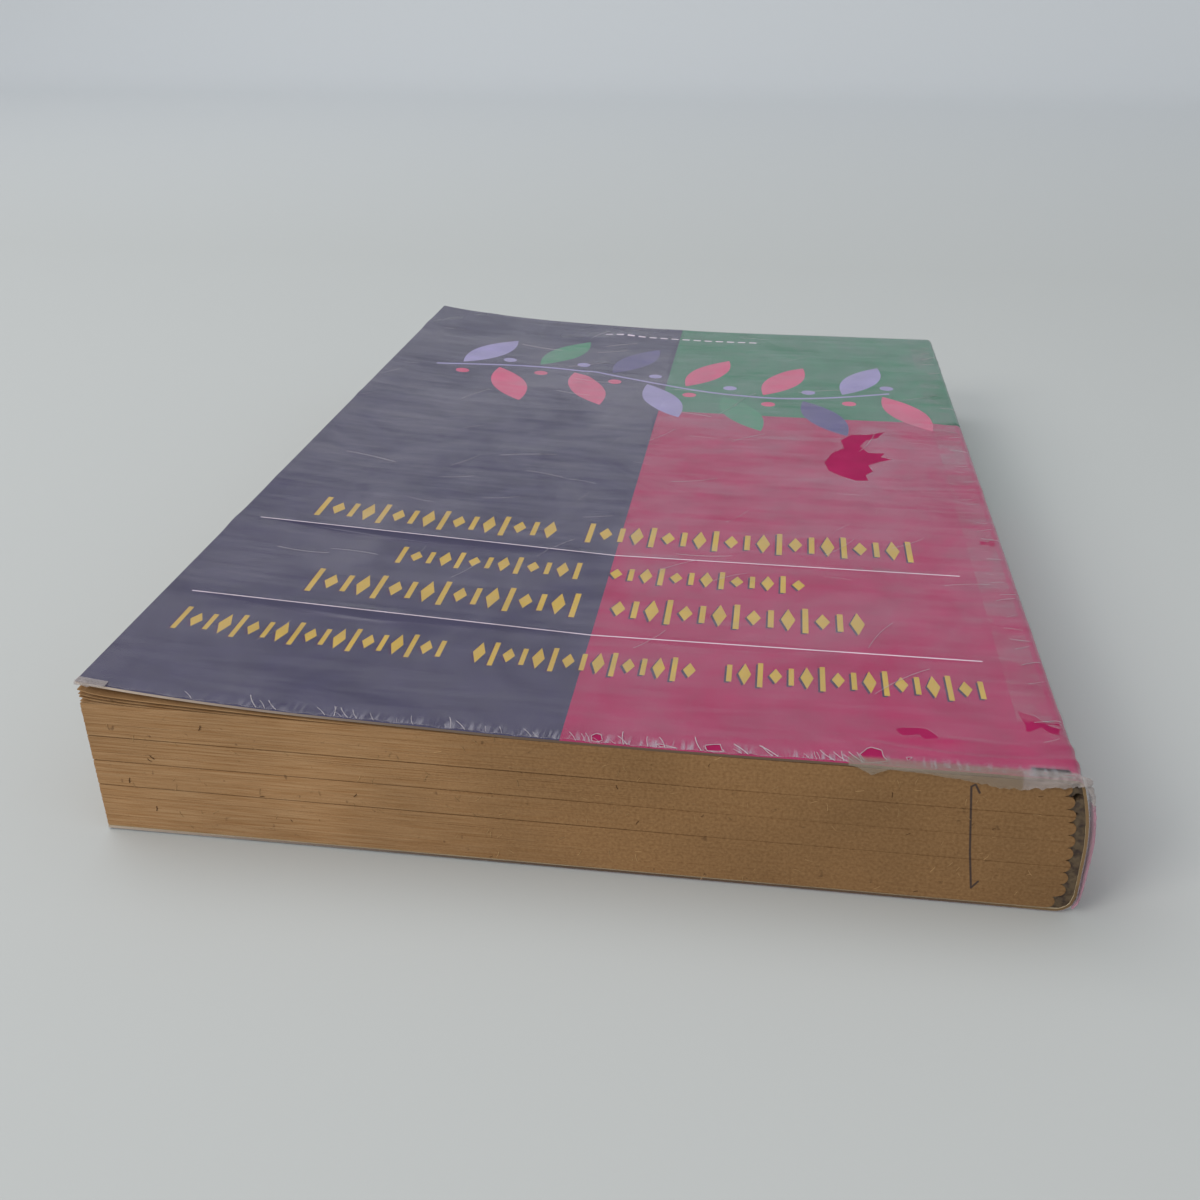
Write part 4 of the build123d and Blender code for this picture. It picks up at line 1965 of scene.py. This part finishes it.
@dataclass
class TornRims:
    """White, stretched rims of film round the tears near the head."""

    def tree(self) -> GrowthTree:
        """Build the tree: each outline becomes a lip of uneven width, laid on the cover."""
        growth = GrowthTree(
            "torn_rims",
            {
                "Bed": "NodeSocketObject",
                "Thickness": "NodeSocketFloat",
                "Wander": "NodeSocketFloat",
                "Patch": "NodeSocketFloat",
                "Stand Off": "NodeSocketFloat",
                "Seed": "NodeSocketFloat",
                "Finish": "NodeSocketMaterial",
            },
        )
        entry, node = growth.entry, growth.node
        curve = node("GeometryNodeMeshToCurve", {0: entry["Base"]})
        fine = node("GeometryNodeResampleCurve", {"Curve": curve, "Length": 0.25 * MM}, mode="LENGTH")
        place = node("GeometryNodeInputPosition").outputs[0]
        frequency = node("ShaderNodeMath", {0: 1.0, 1: entry["Patch"]}, operation="DIVIDE").outputs[0]
        noise_node = node(
            "ShaderNodeTexNoise",
            {"Vector": place, "W": entry["Seed"], "Scale": frequency, "Detail": 2.0},
            noise_dimensions="4D",
        )
        centred = node(
            "ShaderNodeVectorMath", {0: noise_node.outputs["Color"], 1: (0.5, 0.5, 0.5)}, operation="SUBTRACT"
        )
        flat = node("ShaderNodeVectorMath", {0: centred, 1: (1, 1, 0)}, operation="MULTIPLY")
        offset = node("ShaderNodeVectorMath", {0: flat, "Scale": entry["Wander"]}, operation="SCALE")
        wandered = node("GeometryNodeSetPosition", {"Geometry": fine, "Offset": offset})
        width = node(
            "ShaderNodeMapRange",
            {"Value": noise_node, "From Min": 0.48, "From Max": 0.64, "To Min": 0.06},
        )
        varied = node("GeometryNodeSetCurveRadius", {"Curve": wandered, "Radius": width})
        profile = node(
            "GeometryNodeCurvePrimitiveCircle", {"Resolution": 6, "Radius": entry["Thickness"]}
        )
        lip = node(
            "GeometryNodeCurveToMesh", {"Curve": varied, "Profile Curve": profile, "Fill Caps": True}
        )
        growth.finish(growth.laid_on(lip.outputs[0]))
        return growth

    def build(self, bed: bpy.types.Object, white: bpy.types.Material) -> list[bpy.types.Object]:
        """Grow the rims, one piece for each body."""
        growth = self.tree()
        on_panel = [outline for outline in FILM_TEARS if outline[0][0] < 60 and outline[0][1] < -103]
        on_spine = [outline for outline in FILM_TEARS if outline[0][0] > 60 and outline[0][1] < -103]
        pieces = []
        for name, outlines, body, width in (
            ("torn_rims_of_panel", on_panel, "front_panel", 0.045),
            ("torn_rims_of_spine", on_spine, "text_block", 0.04),
        ):
            points: list[tuple[float, float, float]] = []
            edges: list[tuple[int, int]] = []
            for outline in outlines:
                first = len(points)
                points += [(u, y, 0.0) for u, y in outline]
                edges += [(first + i, first + (i + 1) % len(outline)) for i in range(len(outline))]
            values = {
                "Bed": bed,
                "Thickness": width * MM,
                "Wander": 0.5 * MM,
                "Patch": 1.6 * MM,
                "Stand Off": 0.12 * MM,
                "Seed": 3.0,
                "Finish": white,
            }
            piece = growth.grow(name, points, edges, [], values)
            pieces.append(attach(piece, body))
        return pieces


# ---------------------------------------------------------------- loose fibres on the cut pages


@dataclass
class PaperFibres:
    """Short fibres raised by the knife on the cut faces, and dark chips of bark and dirt among them."""

    def tree(self) -> GrowthTree:
        """Build the tree: bent slivers are scattered on the base's faces and lie along them."""
        growth = GrowthTree(
            "fibres_on_cut",
            {
                "Density": "NodeSocketFloat",
                "Length": "NodeSocketFloat",
                "Thickness": "NodeSocketFloat",
                "Bend": "NodeSocketFloat",
                "Seed": "NodeSocketInt",
                "Finish": "NodeSocketMaterial",
            },
        )
        entry, node = growth.entry, growth.node
        spread = node(
            "GeometryNodeDistributePointsOnFaces",
            {"Mesh": entry["Base"], "Density": entry["Density"], "Seed": entry["Seed"]},
        )
        spin = node("FunctionNodeRandomValue", {2: 0.0, 3: math.tau, "Seed": 2}, data_type="FLOAT")
        angles = node("ShaderNodeCombineXYZ", {2: spin})
        turn = node("FunctionNodeEulerToRotation", {0: angles})
        turned = node(
            "FunctionNodeRotateRotation", {0: spread.outputs["Rotation"], 1: turn}, rotation_space="LOCAL"
        )
        size = node("FunctionNodeRandomValue", {2: 0.3, 3: 1.5, "Seed": 6}, data_type="FLOAT")
        bowed = node("ShaderNodeCombineXYZ", {0: entry["Bend"], 1: 0.5, 2: 0.0})
        line = node(
            "GeometryNodeCurveQuadraticBezier",
            {"Resolution": 4, "Start": (0, 0, 0), "Middle": bowed, "End": (0, 1, 0)},
        )
        long = node("ShaderNodeCombineXYZ", {0: entry["Length"], 1: entry["Length"], 2: entry["Length"]})
        sized = node("GeometryNodeTransform", {"Geometry": line, "Scale": long})
        profile = node("GeometryNodeCurvePrimitiveCircle", {"Resolution": 4, "Radius": entry["Thickness"]})
        sliver = node(
            "GeometryNodeCurveToMesh", {"Curve": sized, "Profile Curve": profile, "Fill Caps": True}
        )
        placed = node(
            "GeometryNodeInstanceOnPoints",
            {
                "Points": spread,
                "Instance": sliver,
                "Rotation": turned,
                "Scale": FilmStrands.uniform(growth, size.outputs[1]),
            },
        )
        growth.finish(placed.outputs[0])
        return growth

    def build(self, block: PageBlock) -> list[bpy.types.Object]:
        """Grow pale fibres and dark chips on the head, the tail and the fore edge."""
        growth = self.tree()
        half = SHAPE.half_height
        left = -SHAPE.half_width
        low, high = block.bottom + 0.2, block.top - 0.3
        points = [
            (left + 2, -half, low), (67, -half, low), (67, -half, high), (left + 2, -half, high),
            (67, half, low), (left + 2, half, low), (left + 2, half, high), (67, half, high),
            (left + 0.2, half - 1, low), (left + 0.2, 1 - half, low),
            (left, 1 - half, high), (left, half - 1, high),
        ]
        faces = [(0, 1, 2, 3), (4, 5, 6, 7), (8, 9, 10, 11)]
        pale = BareFibre("raised_paper_fibre", "#B08E64").material()
        dark = BareFibre("bark_chip", "#5A3F28").material()
        sorts = (
            ("paper_fibres", pale, 0.07, 0.8, 0.03, 0.12, 8),
            ("paper_chips", dark, 0.011, 0.6, 0.045, 0.12, 15),
        )
        pieces = []
        for name, finish, per_square_mm, length, thickness, bend, seed in sorts:
            values = {
                "Density": per_square_mm / (MM * MM),
                "Length": length * MM,
                "Thickness": thickness * MM,
                "Bend": bend,
                "Seed": seed,
                "Finish": finish,
            }
            piece = growth.grow(name, points, [], faces, values)
            pieces.append(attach(piece, "text_block"))
        return pieces


# ---------------------------------------------------------------- the table top, light and camera


@dataclass
class Studio:
    """Pale table and wall, soft light from above and from the front left, and the camera."""

    table: str = "#B6B9B8"
    # The wall colour is the far end of the painted light, and reaches the back of the table too.
    wall: str = "#CDD1D4"
    size: float = 3.0
    bend: float = 0.5
    wall_height: float = 2.0

    def build(self) -> None:
        """Make the table, the wall, the lamps and the camera."""
        surface = PlainSurface("matt_pale_table", self.table, self.wall).material()
        depth = self.size / 2
        foot = depth - self.bend
        profile = [(-depth, 0.0), (foot, 0.0)]
        profile += [
            (foot + self.bend * math.sin(a), self.bend * (1 - math.cos(a)))
            for a in np.linspace(0, math.pi / 2, 25)
        ]
        profile.append((depth, self.wall_height))
        points = [(x, y, z) for y, z in profile for x in (-self.size, self.size)]
        faces = [[2 * i, 2 * i + 1, 2 * i + 3, 2 * i + 2] for i in range(len(profile) - 1)]
        backdrop = make_piece("table_top", np.array(points) / MM, faces, [surface])
        world = bpy.data.worlds.new("soft_room")
        world.use_nodes = True
        world.node_tree.nodes["Background"].inputs[0].default_value = linear("#EDEFF1")
        world.node_tree.nodes["Background"].inputs[1].default_value = 0.80
        bpy.context.scene.world = world
        self.lamp("overhead", (-0.6, 0.25, 1.1), (0, 0.0, 0), 0.9, 5.4, "#FAFBFF")
        self.lamp("window", (-0.85, -0.85, 0.75), (0, -0.03, 0.01), 0.55, 8.0, "#FFFAF4")
        self.camera()

    @staticmethod
    def lamp(
        name: str, place: Sequence[float], aim: Sequence[float], size: float, watts: float, colour: str
    ) -> None:
        """Add a square soft lamp.

        Args:
            name: Its name.
            place: Where it hangs, in metres.
            aim: What it points at, in metres.
            size: Its side in metres.
            watts: Its power.
            colour: Its colour as hex.
        """
        light = bpy.data.lights.new(name, "AREA")
        light.size = size
        light.energy = watts
        light.color = linear(colour)[:3]
        lamp = bpy.data.objects.new(name, light)
        lamp.location = place
        lamp.rotation_euler = (Vector(aim) - Vector(place)).to_track_quat("-Z", "Y").to_euler()
        bpy.context.scene.collection.objects.link(lamp)

    @staticmethod
    def camera() -> None:
        """Add the camera: near the head of the book, a little to the spine's side, looking down along it."""
        data = bpy.data.cameras.new("camera")
        data.sensor_width = 36.0
        data.lens = 38.14
        data.clip_start = 0.01
        camera = bpy.data.objects.new("camera", data)
        right = Vector((0.99066, 0.13634, 0.00004))
        up = Vector((-0.06170, 0.44807, 0.89187))
        forward = right.cross(up) * -1
        turn = Matrix((right, up, -forward)).transposed()
        camera.matrix_world = Matrix.Translation(Vector((24.61, -252.915, 118.353)) * MM) @ turn.to_4x4()
        bpy.context.scene.collection.objects.link(camera)
        bpy.context.scene.camera = camera


def main() -> None:
    """Build the book and its surroundings, one sub-assembly after another."""
    logging.basicConfig(level=logging.INFO, format="%(name)s: %(message)s")
    bpy.context.scene.view_settings.view_transform = "Standard"
    paper = AgedPaper().material()
    block = PageBlock()
    pieces = [
        block.build(paper),
        LiftedLeaves().build(paper, block),
        SpineGlue().build(BindingGlue().material(), block),
    ]
    pieces += PaperFibres().build(block)
    card = CardCover().build()
    pieces += card
    pieces += FilmWrap().build()
    white = HazedFilm("whitened_film_strand", 0.3, 0.6, 1.0, "#CFC8CE", 0.5).material()
    hanging = HazedFilm("hanging_film", 0.16, 0.42, 1.0, "#9C8F80", 0.35, fade_in=1.3).material()
    crumpled = HazedFilm("crumpled_film", 0.22, 0.52, 1.0, "#ADA3A0", 0.4, fade_in=1.3).material()
    # The pink of the hem over the magenta spine is painted light from the card behind it.
    tinted = HazedFilm("film_over_magenta", 0.35, 0.6, 1.0, "#BC8A9C", 0.35, fade_in=1.3).material()
    pieces.append(
        LooseHem("loose_hem_at_spine", SPINE_HEM, (-100.0, 61.0, 72.6)).build([hanging, crumpled, tinted])
    )
    pieces.append(LooseHem("tattered_corner", CORNER_HEM, width=1.2, seed=6).build([crumpled]))
    pieces += FilmStrands().build(card[0], white)
    pieces += TornRims().build(card[0], white)
    Studio().build()
    for piece in pieces:
        log.info("%s: %d faces", piece.name, len(piece.data.polygons))


if __name__ == "__main__":
    main()
